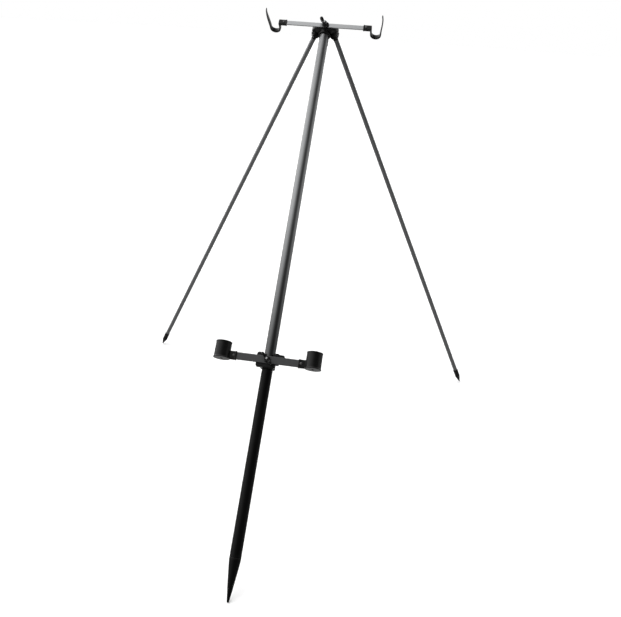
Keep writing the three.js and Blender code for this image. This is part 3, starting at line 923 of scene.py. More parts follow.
@dataclass
class TurnedSteel(Finish):
    """Turned steel under a plated or blackened film: turning lines, a cloudy film, rubbed edges.

    Attributes:
        film: the film's darker and lighter colour.
        bare: the colour of rubbed edges.
        rubbing: how much of it shows there.
        squeeze: how the turning lines lie in the piece's own frame.
        lines, clouds: turning lines and clouds per metre.
        rough: the film's smoothest and roughest.
        metal: how metallic it looks.
    """

    film: tuple[Colour, Colour]
    bare: Colour
    rubbing: float
    squeeze: Point
    lines: float
    clouds: float
    rough: tuple[float, float]
    metal: float

    def dress(self, sheet: NodeSheet) -> None:
        """Adds turning lines, the cloudy film and its rubbed edges.

        Args:
            sheet: the nodes to add to.
        """
        lines = sheet.noise(sheet.stretched(sheet.own(), self.squeeze), self.lines, 3)
        clouds = sheet.noise(sheet.space(), self.clouds, 4)
        base = sheet.rubbed(sheet.tint(clouds, *self.film), self.rubbing, self.bare)
        sheet.set(Base_Color=base, Roughness=sheet.between(clouds, *MIDDLE, *self.rough))
        sheet.set(Metallic=self.metal, Normal=sheet.relief(lines, 0.00002))


@dataclass
class SoftRubber(Finish):
    """Black rubber: matt, bloomed and finely pitted.

    Attributes:
        value: how light the rubber is.
        pit, bloom: pits and patches of bloom per metre.
    """

    value: float = 0.018
    pit: float = 1500
    bloom: float = 60

    def dress(self, sheet: NodeSheet) -> None:
        """Adds pits, a grey bloom and scuffed edges.

        Args:
            sheet: the nodes to add to.
        """
        pits, bloom = (sheet.noise(sheet.space(), *layer) for layer in ((self.pit, 3), (self.bloom, 5)))
        veil = sheet.between(bloom, 0.4, 0.7, 0, 1)
        base = sheet.tint(veil, grey(self.value), grey(self.value * 2.2, 0.02))
        rough = sheet.between(bloom, *MIDDLE, 0.7, 0.88)
        normal = sheet.relief(pits, 0.00006)
        sheet.set(Base_Color=sheet.rubbed(base, 0.4, grey(0.07)), Roughness=rough, Normal=normal)


ALONG_Z = (1.0, 1.0, 0.012)
ALONG_X = (0.012, 1.0, 1.0)
DULL_ZINC = (grey(0.18, 0.03), grey(0.276, -0.03))
OILED_BLACK = (grey(0.03), grey(0.057, 0.04))
FINISHES: dict[Slot, Finish] = {
    # The tube's finish carries painted shade on its lower end, darker towards the bottom.
    Slot.TUBE: Anodised("grey_anodised_tube", 0.145, 0.33, ALONG_Z, shade_heights=(-1.16, -0.66)),
    Slot.BAR_LIGHT: Anodised("silver_anodised_bar", 0.28, 0.38, ALONG_X),
    Slot.BAR_DARK: Anodised("dark_anodised_bar", 0.06, 0.40, ALONG_X, metal=0.85),
    Slot.LEG: Anodised("dark_anodised_leg", 0.14, 0.38, ALONG_Z, metal=0.85),
    Slot.SPIKE: SatinPaint("satin_black_spike"),
    Slot.NYLON: MouldedNylon("moulded_black_nylon"),
    Slot.ZINC: TurnedSteel("dull_zinc_plate", DULL_ZINC, grey(0.42, -0.01), 0.6, (0.15, 0.15, 6), 900, 190,
                           (0.38, 0.54), 1.0),
    Slot.BLACK_STEEL: TurnedSteel("black_oxide_steel", OILED_BLACK, grey(0.16), 0.5, (0.2, 0.2, 5), 800, 160,
                                  (0.34, 0.5), 0.7),
    Slot.RUBBER: SoftRubber("black_rubber"),
}


# ---------------------------------------------------------------- fasteners

# Columns round a screw or a nut, and the depth of a screw's thread as a share of its pitch.
FASTENER_COLUMNS = 72
THREAD_DEPTH = 0.26
# A screw head's dome and its recess: rows of (share of the head's radius or of the recess's outline,
# share of the dome's height).
DOME_ROWS = ((1.0, 0.0), (1.0, 0.22), (0.96, 0.42), (0.86, 0.72), (0.72, 0.9))
RECESS_ROWS = ((1.06, 0.99), (1.0, 0.93), (0.9, 0.35), (0.0, 0.3))


@dataclass(frozen=True)
class Screw:
    """A domed screw along Z, its head's underside at z = 0 and its shank below.

    Attributes:
        head: radius of the head.
        dome: height of the head.
        shank: radius of the shank.
        length: length of the shank.
        recess: the drive in the head.
        pitch: of the thread.
    """

    head: float
    dome: float
    shank: float
    length: float
    recess: Recess
    pitch: float

    def drive(self, angle: Array) -> Array:
        """The recess's outline: its radius at each angle."""
        if self.recess is Recess.HEXAGON:
            return hexagon(angle, self.head * 0.72)
        return cross(angle, self.head * 0.5, self.head * 0.14)

    def mesh(self, name: str) -> bpy.types.Mesh:
        """One closed surface: thread, shank, dome and recess.

        The thread's radius is R - 2 d |frac(z/p + a/2pi) - 1/2|, which climbs one pitch a turn. The
        dome and the recess follow their tables of rows.

        Args:
            name: the mesh's name.

        Returns:
            The mesh.
        """
        angle = np.linspace(0, 2 * pi, FASTENER_COLUMNS, endpoint=False)
        around = np.ones_like(angle)
        thread = np.linspace(0.4 - self.length, -0.8, int(self.length / self.pitch * 8))
        turn = (thread[:, None] / self.pitch + angle / (2 * pi)) % 1
        fade = np.clip((thread + self.length) / self.pitch, 0.3, 1)[:, None]
        ridge = self.shank - 2 * THREAD_DEPTH * self.pitch * np.abs(turn - 0.5) * fade
        dome, recess = np.array(DOME_ROWS), np.array(RECESS_ROWS)
        radius = [np.outer([0.0, 0.8 * self.shank], around), ridge, self.shank * around[None],
                  np.outer(dome[:, 0] * self.head, around), np.outer(recess[:, 0], self.drive(angle))]
        level = np.concatenate([[-self.length, -self.length], thread, [-0.05],
                                dome[:, 1] * self.dome, recess[:, 1] * self.dome])
        return raw_mesh(name, polar(np.concatenate(radius), np.outer(level, around)))


@dataclass(frozen=True)
class LockNut:
    """A hexagonal nut with chamfered corners and a round locking collar, centred on z = 0.

    Attributes:
        corner: radius at its corners.
        height: of nut and collar together.
        bore: radius of its hole.
    """

    corner: float
    height: float
    bore: float

    def mesh(self, name: str) -> bpy.types.Mesh:
        """One ring: the bore, a chamfered hexagon and the collar.

        Args:
            name: the mesh's name.

        Returns:
            The mesh.
        """
        angle = np.linspace(0, 2 * pi, FASTENER_COLUMNS, endpoint=False)
        hexed = hexagon(angle, self.corner * 2 * cos(pi / 6) * 0.98)
        around = np.ones_like(angle)
        chamfer = np.minimum(hexed, self.corner * 0.9)
        collar = [self.corner * 0.78 * around, self.corner * 0.72 * around]
        radius = [self.bore * around, chamfer, hexed, hexed, chamfer, *collar, self.bore * around]
        level = np.array([-1, -1, -0.78, 0.35, 0.55, 0.6, 1, 1]) * self.height / 2
        return raw_mesh(name, polar(np.array(radius), np.outer(level, around), ring=True))


@dataclass(frozen=True)
class WingKnob:
    """A moulded wing nut along Z: a fluted hub and two curved wings.

    Attributes:
        turn: how far its wings are turned, in degrees.
        bore: radius of its bore.
        thickness: half the wings' thickness.
        hub: the hub's outline as (radius, height).
        dimple: centre and half axes of the thumb's oval in a wing.
    """

    turn: float = -45.0
    bore: float = 3.3
    thickness: float = 3.6
    hub: tuple[tuple[float, float], ...] = ((0, 0), (9.2, 0), (9.5, 1), (9.0, 6), (7.4, 12),
                                            (6.2, 14), (0, 14))
    dimple: tuple[float, float, float, float] = (16.4, 13.6, 3.4, 4.8)

    def outline(self) -> Array:
        """Half of the wings from three curves, then the other half mirrored, anticlockwise.

        Returns:
            The points, one row each.
        """
        curves = [bezier((8, 1), (14, 1), (21, 4), (22.5, 12), 18),
                  bezier((22.5, 12), (24, 21), (15, 26), (10, 19), 24)[1:],
                  bezier((10, 19), (8, 14), (5, 12.5), (0, 12.5), 12)[1:]]
        right = np.concatenate(curves)
        return np.concatenate([right, right[-2::-1] * (-1, 1)])

    def mesh(self, name: str) -> bpy.types.Mesh:
        """Hub and wings, with the bore and the dimples cut out.

        The hub's radius is r (1 + 0.03 cos 12a) below its shoulder.

        Args:
            name: the mesh's name.

        Returns:
            The mesh, whose edges are still sharp.
        """
        profile = dense(rounded(list(self.hub), 1.2), 0.8)
        height = profile[:, 1]
        angle = np.linspace(0, 2 * pi, 144, endpoint=False)
        fluted = np.clip(height / 4, 0, 1) * (height < 13)
        radius = profile[:, :1] * (1 + 0.03 * np.outer(fluted, np.cos(12 * angle)))
        hub = polar(radius, np.outer(height, np.ones_like(angle)))
        front = facing_front(0, 0, 0)
        back = basis((0, 0, 0), (-1, 0, 0), (0, 0, 1), (0, 1, 0))
        wings = extruded(self.outline(), -self.thickness, self.thickness, 1.6).moved(front)
        tools = [turned([(0, -2), (self.bore, -2), (self.bore, 30), (0, 30)], 48)]
        tools += [extruded(self.thumb(side), self.thickness - 1, 6, 0.4).moved(facing)
                  for side in (-1, 1) for facing in (front, back)]
        return carved(softened(raw_mesh(name, hub.joined(wings)), Softening(0.4, 0)), tools)

    def thumb(self, side: float) -> Array:
        """The thumb's shallow oval in one wing.

        Args:
            side: -1 or 1, for the wing it is in.

        Returns:
            The points, one row each.
        """
        across, up, wide, tall = self.dimple
        angle = np.linspace(0, 2 * pi, 40, endpoint=False) * side
        return np.stack([side * across + side * wide * np.cos(angle), up + tall * np.sin(angle)], 1)


# ---------------------------------------------------------------- sub-assemblies


@dataclass(frozen=True)
class MainLeg:
    """The long inclined tube, and the sand spike that slides out of its lower end.

    Attributes:
        radius: of both tubes.
        wall: of both tubes.
        top: the tube's upper end above the head's origin.
        joint: where the spike meets the tube.
        length: from the head's origin to the end of the cone.
        cone: length of the spike's cone.
        tip: radius of its tip.
        plug: how far the cone's plug reaches into the spike tube.
        spigot: lower and upper end of the spigot.
        spigot_wall: of the spigot.
    """

    radius: float = 16.0
    wall: float = 1.8
    top: float = 8.0
    joint: float = -1177.0
    length: float = 1800.0
    cone: float = 108.0
    tip: float = 3.0
    plug: float = 40.0
    spigot: tuple[float, float] = (-1247.3, -1047.3)
    spigot_wall: float = 2.7

    def build(self) -> None:
        """Builds the upper tube, spike tube, cone and spigot."""
        here, bore = np.eye(4), self.radius - self.wall
        shoulder = self.cone - self.length
        upper = tube_wall(bore, self.radius, self.joint, self.top, 0.6)
        build_turned(Part("upper_tube", "main_leg", Slot.TUBE), upper, here, 128)
        lower = tube_wall(bore, self.radius, shoulder + PLAY, self.joint - PLAY, 0.2)
        build_turned(Part("spike_tube", "sand_spike", Slot.SPIKE), lower, here, 128)
        point = Part("spike_point", "sand_spike", Slot.SPIKE)
        place_piece(point, raw_mesh(point.node, turned(self.cone_profile(shoulder), 128)), here)
        fit = bore - PLAY
        spigot = tube_wall(fit - self.spigot_wall, fit, *self.spigot, 0.8)
        build_turned(Part("spike_spigot", "sand_spike", Slot.ZINC), spigot, here)

    def cone_profile(self, shoulder: float) -> Array:
        """The cone from its round tip to its shoulder and the plug inside the tube.

        The tip is a quarter circle, the flank a cubic curve that is nearly straight and the shoulder
        its short last bend.

        Args:
            shoulder: height where the cone meets the tube.

        Returns:
            Radius and height along the profile.
        """
        swing = np.linspace(0, pi / 2, 10)
        tip = np.stack([self.tip * np.sin(swing), -self.length - self.tip * np.cos(swing)], 1)
        flank = bezier((self.tip, -self.length), (8, 32 - self.length),
                       (self.radius - 1.3, shoulder - 20), (self.radius, shoulder - 4), 28)[1:]
        fit, end = self.radius - self.wall - PLAY, shoulder + self.plug
        inner = [(self.radius, shoulder - 0.2), (self.radius - 0.2, shoulder), (fit, shoulder),
                 (fit, end - 2), (fit - 2, end), (0, end)]
        return np.concatenate([tip, flank, inner])


def tube_wall(inner: float, outer: float, low: float, high: float, edge: float) -> Outline:
    """A tube's wall with rounded rims, as a closed ring of (radius, height).

    Args:
        inner: radius of the bore.
        outer: radius outside.
        low: lower end.
        high: upper end.
        edge: how far each rim's rounding reaches.

    Returns:
        The outline, whose last point is its first.
    """
    return rounded([(inner, low), (outer, low), (outer, high), (inner, high)], edge) + [(inner, low)]


@dataclass(frozen=True)
class RearLeg:
    """One rear leg: a moulded knuckle, a thin tube and a pointed boot.

    Attributes:
        side: -1 is left, 1 is right.
        label: the side's name.
        hinge: the right leg's hinge, in the main leg's frame.
        folded_end: a point the right leg passes when it lies beside the main leg.
        foot: the right foot: across from the head, behind it and above the ground. The last is
            also the radius of its tip.
        radius: of the tube.
        wall: of the tube.
        knuckle: radius of the knuckle's eye. The boot is 0.4 mm less.
        tongue: half the thickness of the eye.
        collar: radius of the knuckle's collar.
        neck: from the hinge down to the collar.
        plug: from the hinge down to the end of the plug.
        boot: length of the boot.
        sole: from the boot's tip up to the floor of its bore.
        pin: radius of the hinge's hole.
    """

    side: int
    label: str
    hinge: Point = (32.0, 9.0, 11.0)
    folded_end: Point = (36.0, 32.0, -1155.0)
    foot: Point = (665.0, 120.0, 2.0)
    radius: float = 8.0
    wall: float = 1.2
    knuckle: float = 10.0
    tongue: float = 5.7
    collar: float = 8.6
    neck: float = 18.0
    plug: float = 54.0
    boot: float = 62.0
    sole: float = 30.0
    pin: float = 3.3

    def sided(self, point: Point) -> Array:
        """A right-hand point on this leg's side."""
        return np.array(point) * (self.side, 1, 1)

    def stance(self) -> tuple[Array, Array, Array, float]:
        """The hinge, its axis, the way the leg points and the leg's length.

        The foot is known from the ground and is turned into the main leg's frame. The hinge's axis
        is square to the leg both open and folded.

        Returns:
            The hinge, the axis, the unit vector down the leg and the length, tip included.
        """
        head = MainLeg.length * cos(radians(LEG.lean)) + MainLeg.tip
        foot = (self.sided(self.foot) - (0, 0, head)) @ LEG.turn()
        hinge = self.sided(self.hinge)
        reach = foot - hinge
        length = float(np.linalg.norm(reach))
        open_way = reach / length
        axis = np.cross(self.sided(self.folded_end) - hinge, open_way)
        return hinge, axis / np.linalg.norm(axis), open_way, length + self.foot[2]

    def frame(self) -> Array:
        """The leg's frame: it hangs down -Z from the hinge, with the hinge axis along X."""
        hinge, axis, way, _ = self.stance()
        return basis(hinge, axis, np.cross(-way, axis), -way)

    def fork(self) -> Array:
        """The fork's frame: X along the hinge axis, Z up the main leg.

        Returns:
            The four by four matrix.
        """
        hinge, axis, _, _ = self.stance()
        up = np.array([0, 0, 1.0]) - axis * axis[2]
        up /= np.linalg.norm(up)
        return basis(hinge, axis, np.cross(up, axis), up)

    def part(self, what: str, slot: Slot) -> Part:
        """One of this leg's pieces."""
        return Part(f"leg_{what}_{self.label}", f"rear_leg_{self.label}", slot)

    def build(self) -> None:
        """Builds the knuckle, tube and boot."""
        place, length = self.frame(), self.stance()[3]
        build_moulded(self.part("knuckle", Slot.NYLON), self.knuckle_mesh(), place, Softening(0.45, 5))
        low, high = self.sole + PLAY - length, -self.neck - PLAY
        wall = tube_wall(self.radius - self.wall, self.radius, low, high, 0.4)
        build_turned(self.part("tube", Slot.LEG), wall, place)
        boot = raw_mesh("boot", turned(dense(self.boot_profile(length), 0.7), 96))
        place_piece(self.part("foot", Slot.NYLON), boot, place, crease=50.0)

    def boot_profile(self, length: float) -> Outline:
        """The boot from its blunt tip to its mouth, with three grip rings below the mouth.

        Args:
            length: from the hinge to the boot's tip.

        Returns:
            Radius and height along the profile.
        """
        r, bore = self.knuckle - 0.4, self.radius + PLAY
        tip = [(0, 0), (1.4, 0.6), (2.0, 2), (r - 1, 24), (r, 28)]
        rings = [(r, 34), (r, 40)]
        for start in (41, 46, 51):
            rings += [(r - 0.7, start), (r - 0.7, start + 1.4), (r, start + 2.2), (r, start + 4.2)]
        mouth = [(r, self.boot - 1.2), (r - 0.7, self.boot), (bore, self.boot), (bore, self.sole),
                 (0, self.sole)]
        return rounded([(radius, up - length) for radius, up in tip + rings + mouth], 0.6, 3)

    def knuckle_mesh(self) -> bpy.types.Mesh:
        """A tongue round the pivot, tapered to a collar, and a ribbed plug that sits inside the tube.

        The plug's radius is r - 0.35 (1 - |cos(pi z / 6)|), which leaves soft ribs along it.

        Returns:
            The cut mesh.
        """
        swing = np.linspace(0, pi, 40)
        r, collar, low = self.knuckle, self.collar, -self.neck
        arc = np.stack([r * np.cos(swing), r * np.sin(swing)], 1)
        eye = np.concatenate([[(0.6 - collar, low + 1), (collar - 0.6, low + 1), (r, -3)], arc, [(-r, -3)]])
        hinge_way = basis((0, 0, 0), (0, 1, 0), (0, 0, 1), (1, 0, 0))
        tongue = extruded(eye, -self.tongue, self.tongue, 0.9).moved(hinge_way)
        fit = self.radius - self.wall - PLAY
        height = np.linspace(2 - self.plug, low - 1, 90)
        ribs = np.stack([fit - 0.35 * (1 - np.abs(np.cos(pi * height / 6))), height], 1)
        rim = rounded([(fit, low), (collar, low), (collar, low + 2.4), (collar - 1.6, low + 4),
                       (0, low + 4)], 0.6)
        stem = turned(np.concatenate([[(0, -self.plug), (fit - 1.5, -self.plug)], ribs, dense(rim, 1.0)]), 96)
        pivot = turned([(0, -20), (self.pin, -20), (self.pin, 20), (0, 20)], 48).moved(hinge_way)
        return carved(softened(raw_mesh("knuckle", tongue.joined(stem)), Softening(0.45, 2)), [pivot])


@dataclass(frozen=True)
class Head:
    """The moulded head, its rivet and the bolts that the rear legs hinge on.

    Attributes:
        rivet_seat: where the rivet's head sits, behind the main tube.
        bolt: the hinge bolts.
        bolt_seat: from a fork's middle to the underside of its bolt's head.
        nut: their nuts.
        nut_seat: from a fork's middle to the middle of its nut.
    """

    rivet_seat: Point = (0.0, 21.3, -24.0)
    bolt: Screw = Screw(6.5, 4.0, 3.0, 30.0, Recess.HEXAGON, 1.0)
    bolt_seat: float = 11.3
    nut: LockNut = LockNut(5.8, 5.0, 3.1)
    nut_seat: float = 13.8

    def build(self) -> None:
        """Builds the yoke, rivet, hinge bolts and nuts."""
        yoke = Part("head_yoke", "main_leg", Slot.NYLON)
        build_moulded(yoke, cad_mesh(yoke.node), np.eye(4), Softening(0.75, 8))
        place_piece(Part("yoke_rivet", "main_leg", Slot.ZINC), self.rivet(), facing_back(*self.rivet_seat))
        for side, label in SIDES:
            fork = RearLeg(side, label).fork()
            out = fork @ basis((side * self.bolt_seat, 0, 0), (0, 0, -side), (0, 1, 0), (side, 0, 0))
            bolt = Part(f"hinge_bolt_{label}", "main_leg", Slot.BLACK_STEEL)
            place_piece(bolt, self.bolt.mesh(bolt.node), out)
            inner = fork @ basis((-side * self.nut_seat, 0, 0), (0, 0, side), (0, 1, 0), (-side, 0, 0))
            nut = Part(f"hinge_nut_{label}", "main_leg", Slot.BLACK_STEEL)
            place_piece(nut, self.nut.mesh(nut.node), inner)

    def rivet(self) -> bpy.types.Mesh:
        """A domed rivet with a drawn-in middle.

        Returns:
            The mesh.
        """
        stem, dome = [(0, -8), (2, -8), (2, 0)], [(4.5, 0), (4.4, 0.8), (3.2, 2.0), (1.6, 2.2)]
        profile = rounded(stem + dome + [(1.3, 1.2), (0, 1.1)], 0.5)
        return raw_mesh("yoke_rivet", turned(dense(profile, 1.0), 64))


@dataclass(frozen=True)
class FlatBar:
    """A flat bar with rounded edges and corners, along X.

    Attributes:
        half: half its length.
        width: across its face.
        thickness: through it.
        corner: radius of its corners.
        hole: radius of the hole for its bolt, in the middle.
    """

    half: float
    width: float
    thickness: float = 3.5
    corner: float = 3.0
    hole: float = 3.3

    def mesh(self, name: str) -> bpy.types.Mesh:
        """Rounded sections along the bar, narrowed at the ends by the corner's circle.

        Within a corner radius of each end, the half width is W - r + sqrt(r^2 - d^2).

        Args:
            name: the mesh's name.

        Returns:
            The mesh, with the bolt's hole.
        """
        swing = np.linspace(0, pi / 2, 10)
        end = self.half - self.corner + self.corner * np.sin(swing)
        narrow = self.width / 2 - self.corner + self.corner * np.cos(swing)
        middle = np.linspace(-end[0], end[0], 30)[1:-1]
        x = np.concatenate([-end[::-1], middle, end])
        wide = np.concatenate([narrow[::-1], np.full_like(middle, self.width / 2), narrow])
        thick = np.full_like(wide, self.thickness / 2)
        thick[[0, -1]] -= 0.4
        bar = raw_mesh(name, loft(np.stack([x, wide, thick], 1), 14, 96))
        deep = self.thickness
        hole = turned([(0, -deep), (self.hole, -deep), (self.hole, deep), (0, deep)], 48)
        return carved(bar, [hole.moved(facing_back(0, 0, 0))])


@dataclass(frozen=True)
class Sleeve:
    """A moulded sleeve over a bar's end, drawn outboard along X.

    Attributes:
        bar: the bar it sits on.
        inner: where its raised collar starts.
        outer: where it ends.
        screw_at: where its screw is.
        face: from the bar's middle plane to the underside of its screw's head.
    """

    bar: FlatBar
    inner: float
    outer: float
    screw_at: float
    face: float = 4.8

    def surface(self) -> Surface:
        """The outside: a raised collar at the mouth, then a plain sleeve with a chamfered end.

        Returns:
            The closed surface.
        """
        inner, outer = self.inner, self.outer
        x = np.array([inner, inner + 0.6, inner + 3.5, inner + 4.2, outer - 1.2, outer])
        proud = np.array([0.0, 0.6, 0.6, 0.0, 0.0, -0.9])
        edge = self.bar.width / 2 + 1.7
        return loft(np.stack([x, edge + proud, 4.5 + proud], 1), 7, 80)

    def tools(self) -> list[Surface]:
        """What is cut out of it: the bar's socket, 0.3 mm wider all round, and the screw's hole.

        Returns:
            The two closed surfaces.
        """
        depth = self.bar.half + PLAY - self.inner + 5
        x, y, z = depth / 2, self.bar.thickness / 2 + PLAY, self.bar.width / 2 + PLAY
        corners = np.array([(-x, -y), (x, -y), (x, y), (-x, y)])
        grid = np.stack([np.column_stack([corners, np.full(4, level)]) for level in (-z, z)])
        socket = skin(grid, caps=True).moved(shift(self.inner - 5 + depth / 2, 0, 0))
        hole = turned([(0, -10), (2.3, -10), (2.3, 10), (0, 10)], 40)
        return [socket, hole.moved(facing_back(self.screw_at, 0, 0))]

    def build_screw(self, part: Part, side: float, plane: float, height: float) -> None:
        """Places the sleeve's cross-headed screw, from the front.

        Args:
            part: where the screw belongs.
            side: -1 is left, 1 is right.
            plane: the bar's middle plane.
            height: the bar's height up the leg.
        """
        screw = Screw(3.8, 2.2, 2.0, 8.0, Recess.CROSS, 0.8)
        place = facing_front(side * self.screw_at, plane - self.face, height)
        place_piece(part, screw.mesh(part.node), place)


@dataclass(frozen=True)
class RodRest:
    """A U-shaped rest, drawn outboard: x along the bar, y to the angler, z along the leg.

    Attributes:
        sleeve: its sleeve over the bar.
        arm: where its arm starts.
        gap: width of the U.
        depth: how far the U reaches behind the bar.
        prong: how far the outer prong reaches in front of it.
    """

    sleeve: Sleeve
    arm: float = 157.0
    gap: float = 28.0
    depth: float = 40.0
    prong: float = 62.0

    def centre_line(self) -> Array:
        """Down from the arm, round the U and up the curved prong.

        Returns:
            The points from the bar to the prong's tip.
        """
        radius = self.gap / 2 + 2.4
        low = radius - self.depth
        swing = np.linspace(pi, 2 * pi, 60)
        bowl = (self.arm + radius, low) + radius * np.stack([np.cos(swing), np.sin(swing)], 1)
        lead = np.linspace((self.arm, 0), (self.arm, low), 24)[:-1]
        far = self.arm + 2 * radius
        rise = bezier((far, low), (far + 1, low + 28), (far + 10, self.prong - 26), (far + 4, self.prong), 60)
        return np.concatenate([lead, bowl, rise[1:]])

    def mesh(self, name: str) -> bpy.types.Mesh:
        """The strip, the rib along its middle and the sleeve.

        The strip's half thickness is 2.9 - 1.35 t^2, and its half width falls from 8.5 to 5 along
        the prong and closes round its tip.

        Args:
            name: the mesh's name.

        Returns:
            The cut mesh.
        """
        path = self.centre_line()
        t = np.linspace(0, 1, len(path))
        front = path[:, 1]
        on_prong = t > 0.5
        taper = np.where(on_prong, np.clip((front - 6) / (self.prong - 11), 0, 1), 0.0)
        wide = 8.5 - 3.5 * (3 * taper**2 - 2 * taper**3)
        to_tip = np.clip((front - (self.prong - 5)) / 5, 0, 1) * on_prong
        closing = np.sqrt(np.clip(1 - to_tip**2, 0.02, 1))
        thick = (2.9 - 1.35 * t**2) * np.sqrt(closing)
        strip = swept(path, thick, wide * closing, 3.6)
        rib = swept(path, np.minimum(thick + 0.45, 3.1) * closing, 1.2 * closing, 2.4, 20)
        solid = raw_mesh(name, strip.joined(rib, self.sleeve.surface()))
        return carved(softened(solid, Softening(0.5, 3)), self.sleeve.tools())


@dataclass(frozen=True)
class ButtCup:
    """A moulded cup for a rod's butt, drawn outboard along X, with its axis along Z.

    Attributes:
        sleeve: its sleeve over the bar.
        offset: its axis from the middle of the bar.
        radius: outside.
        bore: inside.
        height: of the wall.
        low: its underside.
        floor: thickness of its bottom.
        drain: radius of the hole in its bottom.
    """

    sleeve: Sleeve
    offset: float = 133.0
    radius: float = 23.0
    bore: float = 19.5
    height: float = 50.0
    low: float = -12.5
    floor: float = 4.0
    drain: float = 4.0

    def profile(self) -> Outline:
        """The lip, wall, rolled rim, inner wall, floor and drain hole, as a closed ring.

        Returns:
            Radius and height along the profile.
        """
        low, top, floor = self.low, self.low + self.height, self.low + self.floor
        outside = [(self.drain, low), (self.radius + 1.5, low), (self.radius + 1.5, low + 2.5),
                   (self.radius, low + 4.0), (self.radius, top - 4.5)]
        rim = [(self.radius + 0.5, top - 3.5), (self.radius + 0.5, top), (self.bore + 0.8, top)]
        inside = [(self.bore, top - 2), (self.bore, floor), (self.drain, floor), (self.drain, low)]
        return rounded(outside + rim + inside, 0.9)

    def mesh(self, name: str) -> bpy.types.Mesh:
        """Cup and sleeve, with the bar's socket and the screw's hole.

        Args:
            name: the mesh's name.

        Returns:
            The cut mesh.
        """
        cup = turned(dense(self.profile(), 1.5), 144).moved(shift(self.offset, 0, 0))
        solid = raw_mesh(name, cup.joined(self.sleeve.surface()))
        return carved(softened(solid, Softening(0.55, 3)), self.sleeve.tools())


@dataclass(frozen=True)
class BarFastening:
    """What holds a bar: a bolt from behind, a washer and a wing knob in front.

    Attributes:
        prefix: the start of its pieces' names.
        body: the body that carries the bolt.
        front: the bar's front face.
        height: up the leg.
        start: where the bolt's head sits.
        head: radius of the bolt's head.
        dome: height of the bolt's head.
        beyond: how far the bolt reaches past the knob's back.
        washer: thickness of the washer.
    """

    prefix: str
    body: str
    front: float
    height: float
    start: float
    head: float
    dome: float
    beyond: float = 17.0
    washer: float = 1.2

    def build(self) -> None:
        """Builds the bolt, washer and wing knob."""
        knob_back = self.front - PLAY - self.washer - PLAY
        bolt = Part(f"{self.prefix}_bolt", self.body, Slot.ZINC)
        screw = Screw(self.head, self.dome, 3.0, self.start - knob_back + self.beyond, Recess.HEXAGON, 1.0)
        place_piece(bolt, screw.mesh(bolt.node), facing_back(0, self.start, self.height))
        washer = raw_mesh("washer", turned(tube_wall(3.3, 8.5, 0, self.washer, 0.35), 96))
        seat = facing_front(0, self.front - PLAY, self.height)
        place_piece(Part(f"{self.prefix}_washer", self.body, Slot.ZINC), washer, seat)
        knob = Part(f"{self.prefix}_wing_knob", f"{self.prefix}_knob", Slot.NYLON)
        turn = radians(WingKnob.turn)
        spin = basis((0, 0, 0), (cos(turn), sin(turn), 0), (-sin(turn), cos(turn), 0), (0, 0, 1))
        place = facing_front(0, knob_back, self.height) @ spin
        build_moulded(knob, WingKnob().mesh(knob.node), place, Softening(0.38, 3))


@dataclass(frozen=True)
class TopBar:
    """The top bar with its two rod rests.

    Attributes:
        bar: the bar.
        height: its middle, up the leg.
        plane: its middle plane.
        rest: the rests.
    """

    bar: FlatBar = FlatBar(153.0, 16.0)
    height: float = 20.0
    plane: float = -24.05
    rest: RodRest = RodRest(Sleeve(bar, 131.0, 159.4, screw_at=141.0))

    def build(self) -> None:
        """Builds the bar, the rests and their screws."""
        bar = Part("top_crossbar", "top_bar", Slot.BAR_LIGHT)
        place_piece(bar, self.bar.mesh(bar.node), shift(0, self.plane, self.height))
        for side, label in SIDES:
            outboard = basis((0, self.plane, self.height), (side, 0, 0), (0, -1, 0), (0, 0, -side))
            rest = Part(f"rod_rest_{label}", "top_bar", Slot.NYLON)
            build_moulded(rest, self.rest.mesh(rest.node), outboard, Softening(0.45, 3))
            screw = Part(f"rest_screw_{label}", "top_bar", Slot.BLACK_STEEL)
            self.rest.sleeve.build_screw(screw, side, self.plane, self.height)


@dataclass(frozen=True)
class LowerBar:
    """The lower bar with its two butt cups.

    The cups' sleeves end inside the cups' walls.

    Attributes:
        bar: the bar.
        height: its middle, up the leg.
        plane: its middle plane.
        cup: the cups.
        pad: the underside of their pads, from the bar's middle.
    """

    bar: FlatBar = FlatBar(107.0, 22.0)
    height: float = -1155.0
    plane: float = -28.05
    cup: ButtCup = ButtCup(Sleeve(bar, 90.0, 112.05, screw_at=98.0))
    pad: float = -8.2

    def build(self) -> None:
        """Builds the bar, the cups, their pads and their screws."""
        bar = Part("lower_crossbar", "lower_bar", Slot.BAR_DARK)
        place_piece(bar, self.bar.mesh(bar.node), shift(0, self.plane, self.height))
        for side, label in SIDES:
            outboard = basis((0, self.plane, self.height), (side, 0, 0), (0, side, 0), (0, 0, 1))
            cup = Part(f"butt_cup_{label}", "lower_bar", Slot.NYLON)
            build_moulded(cup, self.cup.mesh(cup.node), outboard, Softening(0.5, 3))
            pad = Part(f"cup_pad_{label}", "lower_bar", Slot.RUBBER)
            inside = shift(side * self.cup.offset, self.plane, self.height + self.pad)
            place_piece(pad, raw_mesh(pad.node, turned(self.pad_profile(), 120)), inside)
            screw = Part(f"cup_screw_{label}", "lower_bar", Slot.BLACK_STEEL)
            self.cup.sleeve.build_screw(screw, side, self.plane, self.height)

    def pad_profile(self) -> Array:
        """A flat ring whose top has shallow concentric ribs: z = 2.8 + 0.2 cos(2 pi r / 2.4).

        Returns:
            Radius and height along the profile.
        """
        r = np.linspace(17.8, 4.4, 80)
        top = np.stack([r, 2.8 + 0.2 * np.cos(2 * pi * r / 2.4)], 1)
        return np.concatenate([[(4, 0), (17.9, 0), (18.2, 0.4), (18.2, 2.4)], top, [(4, 2.5), (4, 0)]])


